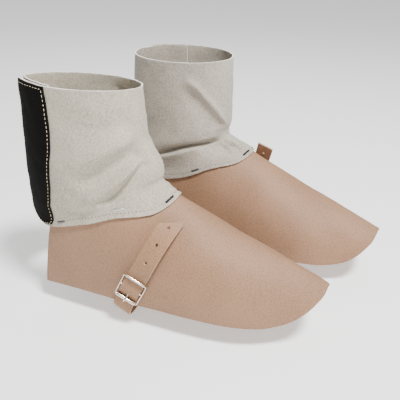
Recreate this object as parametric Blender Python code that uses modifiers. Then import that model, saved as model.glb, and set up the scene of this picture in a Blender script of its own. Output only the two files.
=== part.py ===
"""Pair of spats: leather covers for the ankle and the top of the foot.

Each spat has a suede cuff round the ankle, a smooth leather flap over the foot,
a strap that runs under the arch, and a buckle low on the outer side.
Each is laid out in its own foot frame, in millimetres: f forward to the toe,
w to the outer side, h up from the floor. The two frames are mirror images,
turned a little toe-in, with the left foot a little in front.
The origin is where the pair is held up: on the midline between the two ankles,
half way up the cuffs.
"""

import math

import bmesh
import bpy
from mathutils import Vector

MM = 0.001

# Stance of the two spats
ORIGIN_ABOVE_FLOOR = 190.0
ANKLE_OUT = 83.6
LEFT_FOOT_AHEAD = 20.7
TOE_IN_DEG = 3.15

# Leather and tape
FLAP_LEATHER = 2.0
CUFF_SUEDE = 1.8
TAPE = 1.4
HIDDEN_TAPE = 1.3
STRAP_WIDTH = 22.0
STRAP_LEATHER = 2.2
GAP = 0.3

# Hem of the cuff where it lies on the flap, seen from above: an ellipse, a little
# pointed in front
HEM_CENTRE = -10.0
RIGHT_HEM_FRONT = 86.5
LEFT_HEM_FRONT = 83.0
HEM_REAR = 82.5
HEM_HALF_WIDTH = 47.0
HEM_POINT = 1.05

# Places where the hem lies further out or in. Columns: bearing, breadth, move out
HEM_SHAPE = (
    (98.0, 17.0, -0.85),
    (-70.0, 17.0, 1.3),
)

# Neck edge of the flap, hidden about 9 mm up inside the cuff. The cuff lies on
# the flap up to the lap level and comes free of it by the lay end
NECK_BEHIND_HEM = 8.0
NECK_HALF_WIDTH = 45.2
LAP_LEVEL = 0.065
LAY_END = 0.16
LAP_REAR_BEARING = 152.0
LAP_REAR_FADE = 26.0
LAP_AIR = 0.3
LAP_AIR_AT_NECK = 0.2
LAP_AIR_IN_FRONT = 0.3
LAP_FRONT_BEARING = 25.0

# Flap seen as an arch across the foot. Columns: f, edge height, half width, top,
# crest, lean. The top runs straight from the tongue to the toe. Behind the tongue
# it is only a guide height for the side walls. A crest of 1 is round and a higher
# one sharper, and the lean moves the crest to the outer side
ARCH = (
    (-95.0, 24.0, 38.0, 85.0, 1.0, 0.0),
    (-75.0, 24.5, 44.0, 111.5, 1.0, 0.0),
    (-60.0, 25.2, 46.8, 141.5, 1.0, 0.0),
    (-40.0, 26.2, 49.5, 182.0, 1.0, 0.0),
    (-20.0, 27.0, 51.7, 203.0, 1.0, 0.0),
    (0.0, 27.2, 53.5, 202.0, 1.0, 0.0),
    (20.0, 27.0, 55.2, 184.0, 1.0, 0.0),
    (40.0, 26.6, 56.7, 163.5, 1.12, 0.0),
    (60.0, 26.7, 58.0, 147.5, 1.32, 0.0),
    (76.0, 27.0, 58.9, 138.3, 1.34, 0.2),
    (100.0, 27.3, 60.0, 126.0, 1.24, 0.8),
    (145.0, 27.0, 59.8, 105.3, 1.27, 2.5),
    (165.0, 27.0, 57.5, 97.4, 1.35, 3.4),
    (180.0, 27.0, 53.6, 91.7, 1.41, 3.8),
    (193.0, 26.6, 48.2, 86.8, 1.47, 3.8),
    (207.0, 26.2, 42.0, 81.5, 1.50, 3.6),
    (216.0, 26.0, 39.0, 77.9, 1.50, 3.5),
    (225.0, 26.0, 36.6, 74.2, 1.50, 3.4),
    (233.0, 26.0, 34.0, 70.8, 1.50, 3.3),
    (240.0, 26.0, 30.5, 67.9, 1.50, 3.3),
    (247.0, 26.0, 27.0, 65.2, 1.50, 3.3),
)

# Outer edge of the flap. Columns: bearing round the ankle in degrees, f, swing
# down the arch in degrees on the outer side and on the inner side
OUTER_EDGE = (
    (0.0, 245.0, 0.0, 0.0),
    (10.0, 241.5, 33.6, 39.0),
    (20.0, 234.5, 53.0, 59.0),
    (30.0, 224.5, 69.0, 75.0),
    (40.0, 210.5, 82.3, 86.0),
    (50.0, 191.0, 89.0, 90.0),
    (60.0, 164.0, 90.0, 90.0),
    (70.0, 131.0, 90.0, 90.0),
    (80.0, 94.0, 90.0, 90.0),
    (90.0, 57.0, 90.0, 90.0),
    (100.0, 22.0, 90.0, 90.0),
    (110.0, -10.0, 90.0, 90.0),
    (120.0, -41.0, 90.0, 90.0),
    (130.0, -70.5, 90.0, 90.0),
)
FLAP_REAR_BEARING = 130.0

# Rings of the cuff from hem to rim. Columns: level, height in front, height
# behind, f of the front, f of the back, half width, f of the centre
RIGHT_RINGS = (
    (0.00, 138.6, 90.5, 77.6, -95.0, 49.2, -10.0),
    (0.06, 145.5, 99.0, 69.5, -97.5, 48.8, -12.0),
    (0.12, 151.5, 107.0, 58.5, -98.8, 48.4, -15.0),
    (0.20, 160.5, 117.0, 59.0, -99.2, 48.0, -19.0),
    (0.29, 171.0, 129.0, 57.0, -99.2, 47.8, -22.0),
    (0.37, 180.0, 140.0, 51.4, -99.0, 47.6, -25.0),
    (0.44, 188.0, 150.0, 45.3, -98.8, 47.5, -27.0),
    (0.52, 196.5, 161.0, 40.5, -98.1, 47.5, -28.0),
    (0.68, 214.0, 187.0, 39.0, -96.3, 47.5, -28.0),
    (0.84, 231.0, 218.0, 37.0, -95.1, 47.5, -28.0),
    (1.00, 248.5, 249.7, 35.0, -93.4, 47.5, -28.0),
)
LEFT_RINGS = (
    (0.00, 138.6, 90.5, 77.6, -95.0, 49.2, -10.0),
    (0.06, 145.0, 99.0, 60.0, -97.5, 48.6, -13.0),
    (0.12, 151.5, 107.0, 47.0, -98.8, 47.8, -17.0),
    (0.20, 157.0, 117.0, 38.5, -99.2, 47.0, -22.0),
    (0.29, 164.0, 129.0, 36.5, -99.2, 46.8, -25.0),
    (0.37, 173.0, 140.0, 39.0, -99.0, 47.2, -27.0),
    (0.44, 181.0, 150.0, 39.5, -98.8, 47.5, -28.0),
    (0.52, 191.0, 161.0, 39.5, -98.1, 47.5, -28.0),
    (0.68, 211.0, 188.5, 39.0, -96.3, 47.5, -28.0),
    (0.84, 231.5, 219.5, 38.0, -95.1, 47.5, -28.0),
    (1.00, 253.5, 252.5, 37.0, -93.4, 47.5, -28.0),
)
RING_CREST = 0.3
CREST_WHOLE_LEVEL = 0.12
CREST_END_LEVEL = 0.30
RIM_OUTER_SIDE_RISE = 2.6
RIM_REAR_RISE = 2.0
RIM_REAR_BEARING = 138.0
RIM_REAR_BREADTH = 28.0

# Main folds of the suede. Columns: bearing and level where it starts, bearing
# and level where it ends, height of the fold out of the wall, half breadth.
# They are laid out on the wall rolled flat, and the hem has none
FLAT_MM_PER_DEGREE = 0.96
FLAT_MM_PER_LEVEL = 130.0
FOLD_END_FADE = 12.0
FOLDS_FROM_LEVEL = 0.07
FOLDS_WHOLE_AT_LEVEL = 0.15
RIGHT_FOLDS = (
    (70.0, 0.22, 5.0, 0.40, 3.2, 8.0),
    (62.0, 0.36, 8.0, 0.50, -2.6, 7.0),
    (55.0, 0.14, 5.0, 0.27, -2.4, 6.5),
    (-70.0, 0.24, -8.0, 0.42, 2.8, 8.0),
    (-62.0, 0.38, -10.0, 0.52, -2.4, 7.0),
    (-115.0, 0.30, -165.0, 0.42, -2.0, 8.0),
    (-112.0, 0.20, -160.0, 0.30, 1.8, 8.0),
)
LEFT_FOLDS = (
    (-112.0, 0.28, -12.0, 0.26, -3.6, 6.0),
    (-105.0, 0.17, -15.0, 0.17, 2.6, 7.0),
    (-95.0, 0.72, -30.0, 0.36, 3.0, 8.0),
    (-100.0, 0.56, -40.0, 0.34, -2.6, 7.0),
    (100.0, 0.28, 12.0, 0.27, -3.0, 6.5),
    (95.0, 0.17, 15.0, 0.17, 2.4, 7.0),
    (-120.0, 0.34, -165.0, 0.44, -2.0, 8.0),
)

# The cuff is one strip. It starts under the tape on the outer side of the heel,
# goes forward round the ankle and ends inside its own start
CUFF_STEPS_ROUND = 34
TAPE_SHARES = (0.0, 0.17, 0.34, 0.5, 0.66, 0.83, 1.0)
CUFF_LEVELS = (0.0, 0.033, 0.07, 0.11, 0.15, 0.20, 0.26, 0.32, 0.39, 0.47, 0.58, 0.74, 1.0)
TUCK_DEPTH = CUFF_SUEDE + 2 * HIDDEN_TAPE + 3 * GAP
TUCK_FROM_BEARING = -182.0
TUCK_BREADTH = 24.0
BEARING_STEP = 1.5
LEVEL_STEP = 0.02

# Tape on the cuff's outer end. Its lower rear corner is rounded, from the corner
# share to its rear edge. Columns: level, bearing of its front edge, bearing of
# its rear edge
TAPE_LOW_LEVEL = 0.028
TAPE_HIGH_LEVEL = 0.997
TAPE_CORNER_SHARE = 0.45
TAPE_CORNER_RISE = 0.10
TAPE_CORNER_POWER = 2.2
TAPE_EDGES = (
    (0.00, 124.5, 158.0),
    (0.06, 122.0, 157.0),
    (0.12, 119.0, 156.0),
    (0.21, 114.5, 154.5),
    (0.34, 110.0, 153.0),
    (0.46, 107.0, 152.0),
    (0.61, 103.0, 150.5),
    (0.80, 101.3, 149.5),
    (1.00, 103.0, 149.5),
)
CUFF_START_PAST_TAPE = 2.0

# Line of the strap, from inside the flap, under the arch of the foot and up
# through the buckle. Columns: f, w, h, slope of its breadth in degrees, twist
STRAP_LINE = (
    (24.0, -49.2, 62.0, 0.0, 0.0),
    (24.4, -50.3, 46.0, 0.0, 0.0),
    (25.0, -50.8, 30.0, 0.0, 0.0),
    (25.3, -49.0, 19.5, 0.0, 0.0),
    (25.6, -44.0, 12.0, 0.0, 0.0),
    (26.0, -34.0, 8.6, 0.0, 0.0),
    (26.6, -12.0, 7.6, 3.0, 0.0),
    (27.0, 12.0, 7.6, 8.0, 0.0),
    (27.6, 34.0, 8.6, 18.0, 0.0),
    (28.6, 46.5, 11.6, 27.0, 0.0),
    (30.2, 55.2, 16.2, 30.0, 0.0),
    (31.6, 58.2, 21.5, 29.0, 0.0),
    (33.8, 59.1, 27.5, 28.0, 0.0),
    (38.2, 59.2, 37.6, 26.0, 0.0),
    (41.0, 61.0, 43.4, 26.0, 0.0),
    (43.9, 63.8, 49.3, 26.0, 0.0),
    (47.4, 62.6, 56.5, 26.0, 0.0),
    (51.3, 60.6, 64.4, 26.0, 0.0),
)
RIGHT_STRAP_END = (
    (55.5, 61.2, 72.8, 26.0, 7.0),
    (60.5, 61.0, 83.0, 26.0, 13.0),
    (66.0, 57.8, 94.5, 26.0, 15.0),
    (71.0, 51.5, 105.0, 26.0, 13.0),
    (76.3, 42.0, 115.0, 26.0, 9.0),
    (80.6, 31.8, 122.6, 26.0, 5.0),
)
LEFT_STRAP_END = (
    (55.5, 61.6, 74.0, 26.0, 2.0),
    (61.0, 60.6, 87.0, 26.0, 4.0),
    (66.5, 56.8, 100.5, 26.0, 5.0),
    (71.5, 50.4, 113.5, 25.0, 5.0),
    (76.0, 42.4, 126.0, 23.0, 4.0),
    (80.0, 34.0, 138.0, 21.0, 3.0),
)
STRAP_STEPS = 58
STRAP_ROW_AT_ROLLER = 13
STRAP_HOLE_RADIUS = 1.7
STRAP_HOLES = (56.0, 78.0, 99.5)
STRAP_TIP_CORNER = 1.2
STRAP_SLANT_FROM = 34.0
RIGHT_STRAP_SLANT = 8.5
LEFT_STRAP_SLANT = 0.5

# Rows of the flap from neck to outer edge, and columns from the ridge to the rear
FLAP_FALLS = (0.0, 0.07, 0.18, 0.30, 0.42, 0.55, 0.68, 0.80, 0.91, 1.0)
FLAP_STEPS_EACH_SIDE = 16

# Buckle, laid along the strap: up is along it, out is off the flap
BUCKLE_F = 43.9
BUCKLE_H = 49.3
BUCKLE_SLOPE_DEG = 26.0
BUCKLE_HALF_WIDTH = 13.4
BAR_CENTRE_W = 59.5
BAR_RADIUS = 1.0
ROLLER_UP = -13.0
ROLLER_W = 62.6
ROLLER_RADIUS = 2.0
AXLE_RADIUS = 0.9
TOP_UP = 16.8
TOP_W = 63.8
TOP_RADIUS = 1.5
TOP_CORNER = 2.6
TOP_BAR_INSET = 2.2
ROLLER_CORNER = 1.6
ROLLER_INSET = 2.0
SIDE_MARKS = (-8.5, -4.0, 0.0, 5.0, 10.5)
PRONG_RADIUS = 0.8
PRONG_SLOT_AIR = 0.5
PRONG_SLOT_FROM = 4
CHAPE_WIDTH = 14.0
CHAPE_LEATHER = 1.0
CHAPE_SLOT = 3.4
CHAPE_SLOT_LOW = -4.0
CHAPE_SLOT_HIGH = 4.2
CHAPE_SLOT_DEPTH = 9.0

# Prong in its loop round the centre bar and out to the roller. Columns: up, w
PRONG_LINE = (
    (1.95, 58.9),
    (0.70, 57.57),
    (-1.03, 57.72),
    (-2.02, 59.14),
    (-2.6, 60.6),
    (-5.0, 60.8),
    (-7.6, 61.5),
    (-10.0, 63.6),
    (-11.4, 65.2),
    (-13.2, 65.8),
    (-15.4, 65.2),
)

# Leather that holds the buckle to the flap, folded round the centre bar.
# Columns: up, w
CHAPE_LINE = (
    (18.0, 56.6),
    (12.0, 56.9),
    (7.0, 57.2),
    (3.5, 57.5),
    (0.45, 57.81),
    (-0.9, 58.0),
    (-1.69, 59.05),
    (-1.69, 59.95),
    (-0.9, 61.0),
    (0.45, 61.19),
    (3.0, 60.4),
    (5.5, 59.2),
    (8.0, 58.7),
    (12.0, 58.3),
    (17.4, 58.0),
)


def start_clean():
    for item in list(bpy.data.objects):
        bpy.data.objects.remove(item, do_unlink=True)
    for group in list(bpy.data.collections):
        bpy.data.collections.remove(group)


def collection(name):
    group = bpy.data.collections.new(name)
    bpy.context.scene.collection.children.link(group)
    return group


def material(name, colour, roughness, metallic=0.0):
    mat = bpy.data.materials.new(name)
    mat.use_nodes = True
    shader = mat.node_tree.nodes["Principled BSDF"]
    shader.inputs["Base Color"].default_value = (*colour, 1.0)
    shader.inputs["Roughness"].default_value = roughness
    shader.inputs["Metallic"].default_value = metallic
    mat.diffuse_color = (*colour, 1.0)
    return mat


def curve_value(table, column, x):
    """Smooth value of a column at x, where the first column is in rising order."""
    if x <= table[0][0]:
        return table[0][column]
    if x >= table[-1][0]:
        return table[-1][column]
    k = 0
    while table[k + 1][0] < x:
        k += 1

    def slope(i):
        low = max(i - 1, 0)
        high = min(i + 1, len(table) - 1)
        return (table[high][column] - table[low][column]) / (table[high][0] - table[low][0])

    step = table[k + 1][0] - table[k][0]
    u = (x - table[k][0]) / step
    a = table[k][column]
    b = table[k + 1][column]
    return (
        a * (1 + 2 * u) * (1 - u) ** 2
        + slope(k) * step * u * (1 - u) ** 2
        + b * u * u * (3 - 2 * u)
        + slope(k + 1) * step * u * u * (u - 1)
    )


def place(side, point):
    """Foot frame to the shared frame. Side is -1 for the right foot, 1 for the left."""
    f, w, h = point
    turn = math.radians(TOE_IN_DEG)
    x = side * ANKLE_OUT - side * math.sin(turn) * f + side * math.cos(turn) * w
    y = -side * LEFT_FOOT_AHEAD - math.cos(turn) * f - math.sin(turn) * w
    return Vector((x, y, h - ORIGIN_ABOVE_FLOOR)) * MM


def oval_side(half_width, bearing):
    """Side reach of the hem's oval at a bearing, + outer side."""
    sin = math.sin(math.radians(abs(bearing)))
    reach = half_width * sin ** (HEM_POINT if abs(bearing) < 90 else 1.0)
    for at, breadth, move in HEM_SHAPE:
        reach += move * math.exp(-(((bearing - at) / breadth) ** 2))
    return reach


def arch_point(f, swing, out=0.0):
    """Point of the flap's outer face, swing degrees down from the crest, + outer side."""

    def raw(ff, ss):
        edge = curve_value(ARCH, 1, ff)
        half = curve_value(ARCH, 2, ff)
        top = curve_value(ARCH, 3, ff)
        crest = curve_value(ARCH, 4, ff)
        sin = math.sin(math.radians(ss))
        cos = math.cos(math.radians(ss))
        w = math.copysign(half * abs(sin) ** crest, sin) + curve_value(ARCH, 5, ff) * cos
        return Vector((ff, w, edge + (top - edge) * cos))

    point = raw(f, swing)
    if out == 0.0:
        return point
    along = raw(f + 1.0, swing) - raw(f - 1.0, swing)
    down = raw(f, swing + 1.0) - raw(f, swing - 1.0)
    return point + along.cross(down).normalized() * out


def arch_swing(f, w):
    """Swing down the arch of a place w out from its crest."""
    share = min(1.0, w / curve_value(ARCH, 2, f))
    return math.degrees(math.asin(share ** (1 / curve_value(ARCH, 4, f))))


def hem_front(side):
    return RIGHT_HEM_FRONT if side < 0 else LEFT_HEM_FRONT


def flap_point(side, bearing, fall, out=0.0):
    """Fall is 0 at the neck edge and 1 at the outer edge. Bearing has a sign."""
    size = abs(bearing)
    rad = math.radians(size)
    reach = hem_front(side) - NECK_BEHIND_HEM if size < 90 else HEM_REAR
    neck_f = HEM_CENTRE + reach * math.cos(rad)
    neck_swing = arch_swing(neck_f, oval_side(NECK_HALF_WIDTH, bearing))
    edge_f = curve_value(OUTER_EDGE, 1, size)
    edge_swing = curve_value(OUTER_EDGE, 2 if bearing > 0 else 3, size)
    f = neck_f + (edge_f - neck_f) * fall
    swing = neck_swing + (edge_swing - neck_swing) * fall
    return arch_point(f, math.copysign(swing, bearing), out)


def lay_point(side, bearing, share):
    """Outer face of the cuff where it laps the flap: share 0 at the hem, 1 at the neck."""
    size = abs(bearing)
    half = HEM_HALF_WIDTH + (NECK_HALF_WIDTH - HEM_HALF_WIDTH) * share
    reach = hem_front(side) - NECK_BEHIND_HEM * share if size < 90 else HEM_REAR
    f = HEM_CENTRE + reach * math.cos(math.radians(size))
    swing = arch_swing(f, oval_side(half, bearing))
    air = LAP_AIR + LAP_AIR_AT_NECK * min(share, 1.0)
    air += LAP_AIR_IN_FRONT * max(0.0, 1 - size / LAP_FRONT_BEARING)
    return arch_point(f, math.copysign(swing, bearing), CUFF_SUEDE + GAP + air)


def ramp(value, start, end):
    """0 before the start and 1 past the end."""
    return min(1.0, max(0.0, (value - start) / (end - start)))


def ease(share):
    return share * share * (3 - 2 * share)


def fold_height(folds, bearing, level):
    total = 0.0
    for bearing_a, level_a, bearing_b, level_b, height, breadth in folds:
        a = Vector((bearing_a * FLAT_MM_PER_DEGREE, level_a * FLAT_MM_PER_LEVEL))
        b = Vector((bearing_b * FLAT_MM_PER_DEGREE, level_b * FLAT_MM_PER_LEVEL))
        middle = (bearing_a + bearing_b) / 2
        near = middle + (bearing - middle + 180.0) % 360.0 - 180.0
        here = Vector((near * FLAT_MM_PER_DEGREE, level * FLAT_MM_PER_LEVEL)) - a
        length = (b - a).length
        way = (b - a) / length
        along = here.dot(way)
        across = here.x * way.y - here.y * way.x
        over = max(0.0, -along, along - length)
        total += height * math.exp(-((across / breadth) ** 2) - (over / FOLD_END_FADE) ** 2)
    return total * ramp(level, FOLDS_FROM_LEVEL, FOLDS_WHOLE_AT_LEVEL)


def cuff_wall(side, bearing, level):
    """Outer face of the cuff's wall. Bearing 0 is in front, 90 the outer side."""
    rings = RIGHT_RINGS if side < 0 else LEFT_RINGS
    rad = math.radians(bearing)
    cos, sin = math.cos(rad), math.sin(rad)
    front_h = curve_value(rings, 1, level)
    rear_h = curve_value(rings, 2, level)
    front = curve_value(rings, 3, level)
    rear = curve_value(rings, 4, level)
    half = curve_value(rings, 5, level)
    centre = curve_value(rings, 6, level)
    reach = front - centre if cos > 0 else centre - rear
    f = centre + reach * cos
    w = half * sin
    if cos > 0:
        w *= abs(sin) ** (RING_CREST * ramp(level, CREST_END_LEVEL, CREST_WHOLE_LEVEL))
    h = rear_h + (front_h - rear_h) * (f - rear) / (front - rear)
    h += RIM_OUTER_SIDE_RISE * level * sin
    round_bearing = (bearing + 180.0) % 360.0 - 180.0
    past = (round_bearing - RIM_REAR_BEARING) / RIM_REAR_BREADTH
    h += RIM_REAR_RISE * level ** 2 * math.exp(-past ** 2)
    point = Vector((f, w, h))
    if level < LAY_END:
        size = abs(round_bearing)
        laid = math.copysign(min(size, LAP_REAR_BEARING), round_bearing)
        lay = lay_point(side, laid, level / LAP_LEVEL)
        keep = ramp(level, LAY_END, LAP_LEVEL)
        keep *= ramp(size, LAP_REAR_BEARING, LAP_REAR_BEARING - LAP_REAR_FADE)
        point = point.lerp(lay, ease(keep))
    return point


def cuff_point(side, bearing, level, out=0.0):
    folds = RIGHT_FOLDS if side < 0 else LEFT_FOLDS
    here = cuff_wall(side, bearing, level)
    ahead = cuff_wall(side, bearing + BEARING_STEP, level)
    round_it = ahead - cuff_wall(side, bearing - BEARING_STEP, level)
    low = max(0.0, level - LEVEL_STEP)
    high = min(1.0, level + LEVEL_STEP)
    up_it = cuff_wall(side, bearing, high) - cuff_wall(side, bearing, low)
    normal = up_it.cross(round_it).normalized()
    rad = math.radians(bearing)
    if normal.dot(Vector((math.cos(rad), math.sin(rad), 0.0))) < 0:
        normal.negate()
    return here + normal * (out + fold_height(folds, bearing, level))


def sheet(name, side, rows, thickness, offset, mat, group):
    """Open surface through rows of points, made solid. Rows run the same way."""
    mesh = bpy.data.meshes.new(name)
    work = bmesh.new()
    grid = []
    for row in rows:
        grid.append([work.verts.new(place(side, point)) for point in row])
    for i in range(len(grid) - 1):
        for j in range(len(grid[i]) - 1):
            loop = (grid[i][j], grid[i + 1][j], grid[i + 1][j + 1], grid[i][j + 1])
            if side < 0:
                loop = loop[::-1]
            work.faces.new(loop)
    work.to_mesh(mesh)
    work.free()
    for face in mesh.polygons:
        face.use_smooth = True
    mesh.materials.append(mat)
    body = bpy.data.objects.new(name, mesh)
    group.objects.link(body)
    solid = body.modifiers.new("thickness", "SOLIDIFY")
    solid.thickness = thickness * MM
    solid.offset = offset
    solid.use_even_offset = False
    return body


def cuff(side, label, mat, group):
    rows = []
    for level in CUFF_LEVELS:
        row = []
        front = curve_value(TAPE_EDGES, 1, level)
        rear = curve_value(TAPE_EDGES, 2, level)
        under_tape = [front + (rear - front) * share for share in reversed(TAPE_SHARES)]
        bearings = [rear + CUFF_START_PAST_TAPE] + under_tape
        for k in range(1, CUFF_STEPS_ROUND):
            bearings.append(front + (rear - 360.0 - front) * k / CUFF_STEPS_ROUND)
        bearings += [bearing - 360.0 for bearing in under_tape]
        for bearing in bearings:
            tuck = ease(ramp(bearing, TUCK_FROM_BEARING, TUCK_FROM_BEARING - TUCK_BREADTH))
            row.append(cuff_point(side, bearing, level, -TUCK_DEPTH * tuck))
        rows.append(row)
    return sheet(label + "_cuff", side, rows, CUFF_SUEDE, -1.0, mat, group)


def band(side, name, shares, levels, out, thickness, mat, group, corner=0.0):
    """Strip on the cuff's wall, share 0 at the tape's front edge and 1 at its rear.

    Corner is how far up the lower rear corner is rounded, as a level.
    """
    rows = []
    for i, level in enumerate(levels):
        row = []
        for share in shares:
            bend = ramp(share, TAPE_CORNER_SHARE, 1.0) ** TAPE_CORNER_POWER
            here = level + corner * bend * (1.0 - i / (len(levels) - 1))
            front = curve_value(TAPE_EDGES, 1, here)
            rear = curve_value(TAPE_EDGES, 2, here)
            row.append(cuff_point(side, front + (rear - front) * share, here, out))
        rows.append(row[::-1])
    return sheet(name, side, rows, thickness, 1.0, mat, group)


def flap(side, label, mat, group):
    steps = FLAP_STEPS_EACH_SIDE
    bearings = [FLAP_REAR_BEARING * k / steps for k in range(-steps, steps + 1)]
    rows = []
    for fall in FLAP_FALLS:
        rows.append([flap_point(side, bearing, fall) for bearing in bearings])
    return sheet(label + "_flap", side, rows, FLAP_LEATHER, -1.0, mat, group)


def strap_frame(row):
    """Breadth of the strap at a row of its line, sloping and twisted."""
    slope = math.radians(row[3])
    twist = math.radians(row[4])
    return Vector((
        math.cos(slope) * math.cos(twist),
        math.sin(twist),
        -math.sin(slope) * math.cos(twist),
    ))


def strap_rows(side):
    """The strap's line with the running length as its first column."""
    line = STRAP_LINE + (RIGHT_STRAP_END if side < 0 else LEFT_STRAP_END)
    marks = []
    length = 0.0
    for k, row in enumerate(line):
        if k:
            length += (Vector(row[:3]) - Vector(line[k - 1][:3])).length
        marks.append((length, *row))
    return marks


def strap_at(marks, length):
    return tuple(curve_value(marks, column, length) for column in range(1, 6))


def strap(side, label, mat, group, holes_group):
    marks = strap_rows(side)
    total = marks[-1][0]
    slant = RIGHT_STRAP_SLANT if side < 0 else LEFT_STRAP_SLANT
    rows = []
    for k in range(STRAP_STEPS + 1):
        length = total * k / STRAP_STEPS
        here = strap_at(marks, length)
        half = STRAP_WIDTH / 2
        if k == STRAP_STEPS:
            half -= STRAP_TIP_CORNER
        centre = Vector(here[:3])
        tangent = (centre - Vector(strap_at(marks, length - 1.0)[:3])) if k else Vector()
        lean = tangent * slant * ramp(length, total - STRAP_SLANT_FROM, total)
        across = strap_frame(here) * half + lean
        rows.append([centre - across, centre, centre + across])
    body = sheet(label + "_strap", side, rows, STRAP_LEATHER, 0.0, mat, group)
    start = marks[STRAP_ROW_AT_ROLLER][0]
    for k, distance in enumerate(STRAP_HOLES):
        here = strap_at(marks, start + distance)
        ahead = strap_at(marks, start + distance + 1.0)
        centre = Vector(here[:3])
        tangent = (Vector(ahead[:3]) - centre).normalized()
        normal = tangent.cross(strap_frame(here)).normalized()
        cut = rod(label + "_strap_hole_" + str(k + 1), side, centre - normal * 5, centre + normal * 5,
                  STRAP_HOLE_RADIUS, None, holes_group, 12)
        subtract(body, cut)
    return body


def rod(name, side, start, end, radius, mat, group, segments=16):
    """Round bar between two points of the foot frame."""
    a = place(side, start)
    b = place(side, end)
    mesh = bpy.data.meshes.new(name)
    work = bmesh.new()
    bmesh.ops.create_cone(work, cap_ends=True, segments=segments, radius1=radius * MM,
                          radius2=radius * MM, depth=(b - a).length)
    turn = Vector((0, 0, 1)).rotation_difference((b - a).normalized())
    bmesh.ops.rotate(work, verts=work.verts, cent=(0, 0, 0), matrix=turn.to_matrix())
    bmesh.ops.translate(work, verts=work.verts, vec=(a + b) / 2)
    work.to_mesh(mesh)
    work.free()
    if mat:
        mesh.materials.append(mat)
    body = bpy.data.objects.new(name, mesh)
    group.objects.link(body)
    return body


def wire(name, side, points, radius, mat, group, closed=False, corners=3):
    """Bent round bar through points of the foot frame, as a solid mesh."""
    path = bpy.data.curves.new(name + "_path", "CURVE")
    path.dimensions = "3D"
    line = path.splines.new("POLY")
    line.points.add(len(points) - 1)
    for mark, point in zip(line.points, points):
        mark.co = (*place(side, point), 1.0)
    line.use_cyclic_u = closed
    path.bevel_depth = radius * MM
    path.bevel_resolution = corners - 1
    path.use_fill_caps = True
    guide = bpy.data.objects.new(name + "_path", path)
    group.objects.link(guide)
    bpy.context.view_layer.update()
    graph = bpy.context.evaluated_depsgraph_get()
    mesh = bpy.data.meshes.new_from_object(guide.evaluated_get(graph))
    bpy.data.objects.remove(guide, do_unlink=True)
    mesh.name = name
    mesh.materials.clear()
    mesh.materials.append(mat)
    work = bmesh.new()
    work.from_mesh(mesh)
    bmesh.ops.remove_doubles(work, verts=work.verts, dist=0.00001)
    bmesh.ops.recalc_face_normals(work, faces=work.faces)
    work.to_mesh(mesh)
    work.free()
    body = bpy.data.objects.new(name, mesh)
    group.objects.link(body)
    return body


def subtract(body, cut):
    cut.hide_render = True
    cut.display_type = "WIRE"
    step = body.modifiers.new(cut.name, "BOOLEAN")
    step.operation = "DIFFERENCE"
    step.solver = "EXACT"
    step.object = cut


def unite(body, other):
    other.hide_render = True
    other.display_type = "WIRE"
    step = body.modifiers.new(other.name, "BOOLEAN")
    step.operation = "UNION"
    step.solver = "EXACT"
    step.object = other


def buckle_place(across, up, w):
    """Buckle frame to foot frame: across to the toe, up along the strap, w out."""
    slope = math.radians(BUCKLE_SLOPE_DEG)
    f = BUCKLE_F + across * math.cos(slope) + up * math.sin(slope)
    h = BUCKLE_H - across * math.sin(slope) + up * math.cos(slope)
    return Vector((f, w, h))


def frame_w(up):
    """How far out the bent side of the buckle stands at a place along it."""
    if up < 0:
        return BAR_CENTRE_W + (ROLLER_W - BAR_CENTRE_W) * (up / ROLLER_UP) ** 2
    return BAR_CENTRE_W + (TOP_W - BAR_CENTRE_W) * (up / TOP_UP) ** 2


def rounded(half, reach, corner, flip):
    """Corner pairs of one end of the buckle, from one side to the other."""
    marks = []
    for turn in (0, 30, 60, 90):
        rad = math.radians(turn)
        marks.append((-half + corner - corner * math.cos(rad), reach - flip * corner * (1 - math.sin(rad))))
    back = [(-across, up) for across, up in reversed(marks)]
    return marks + back


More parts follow.
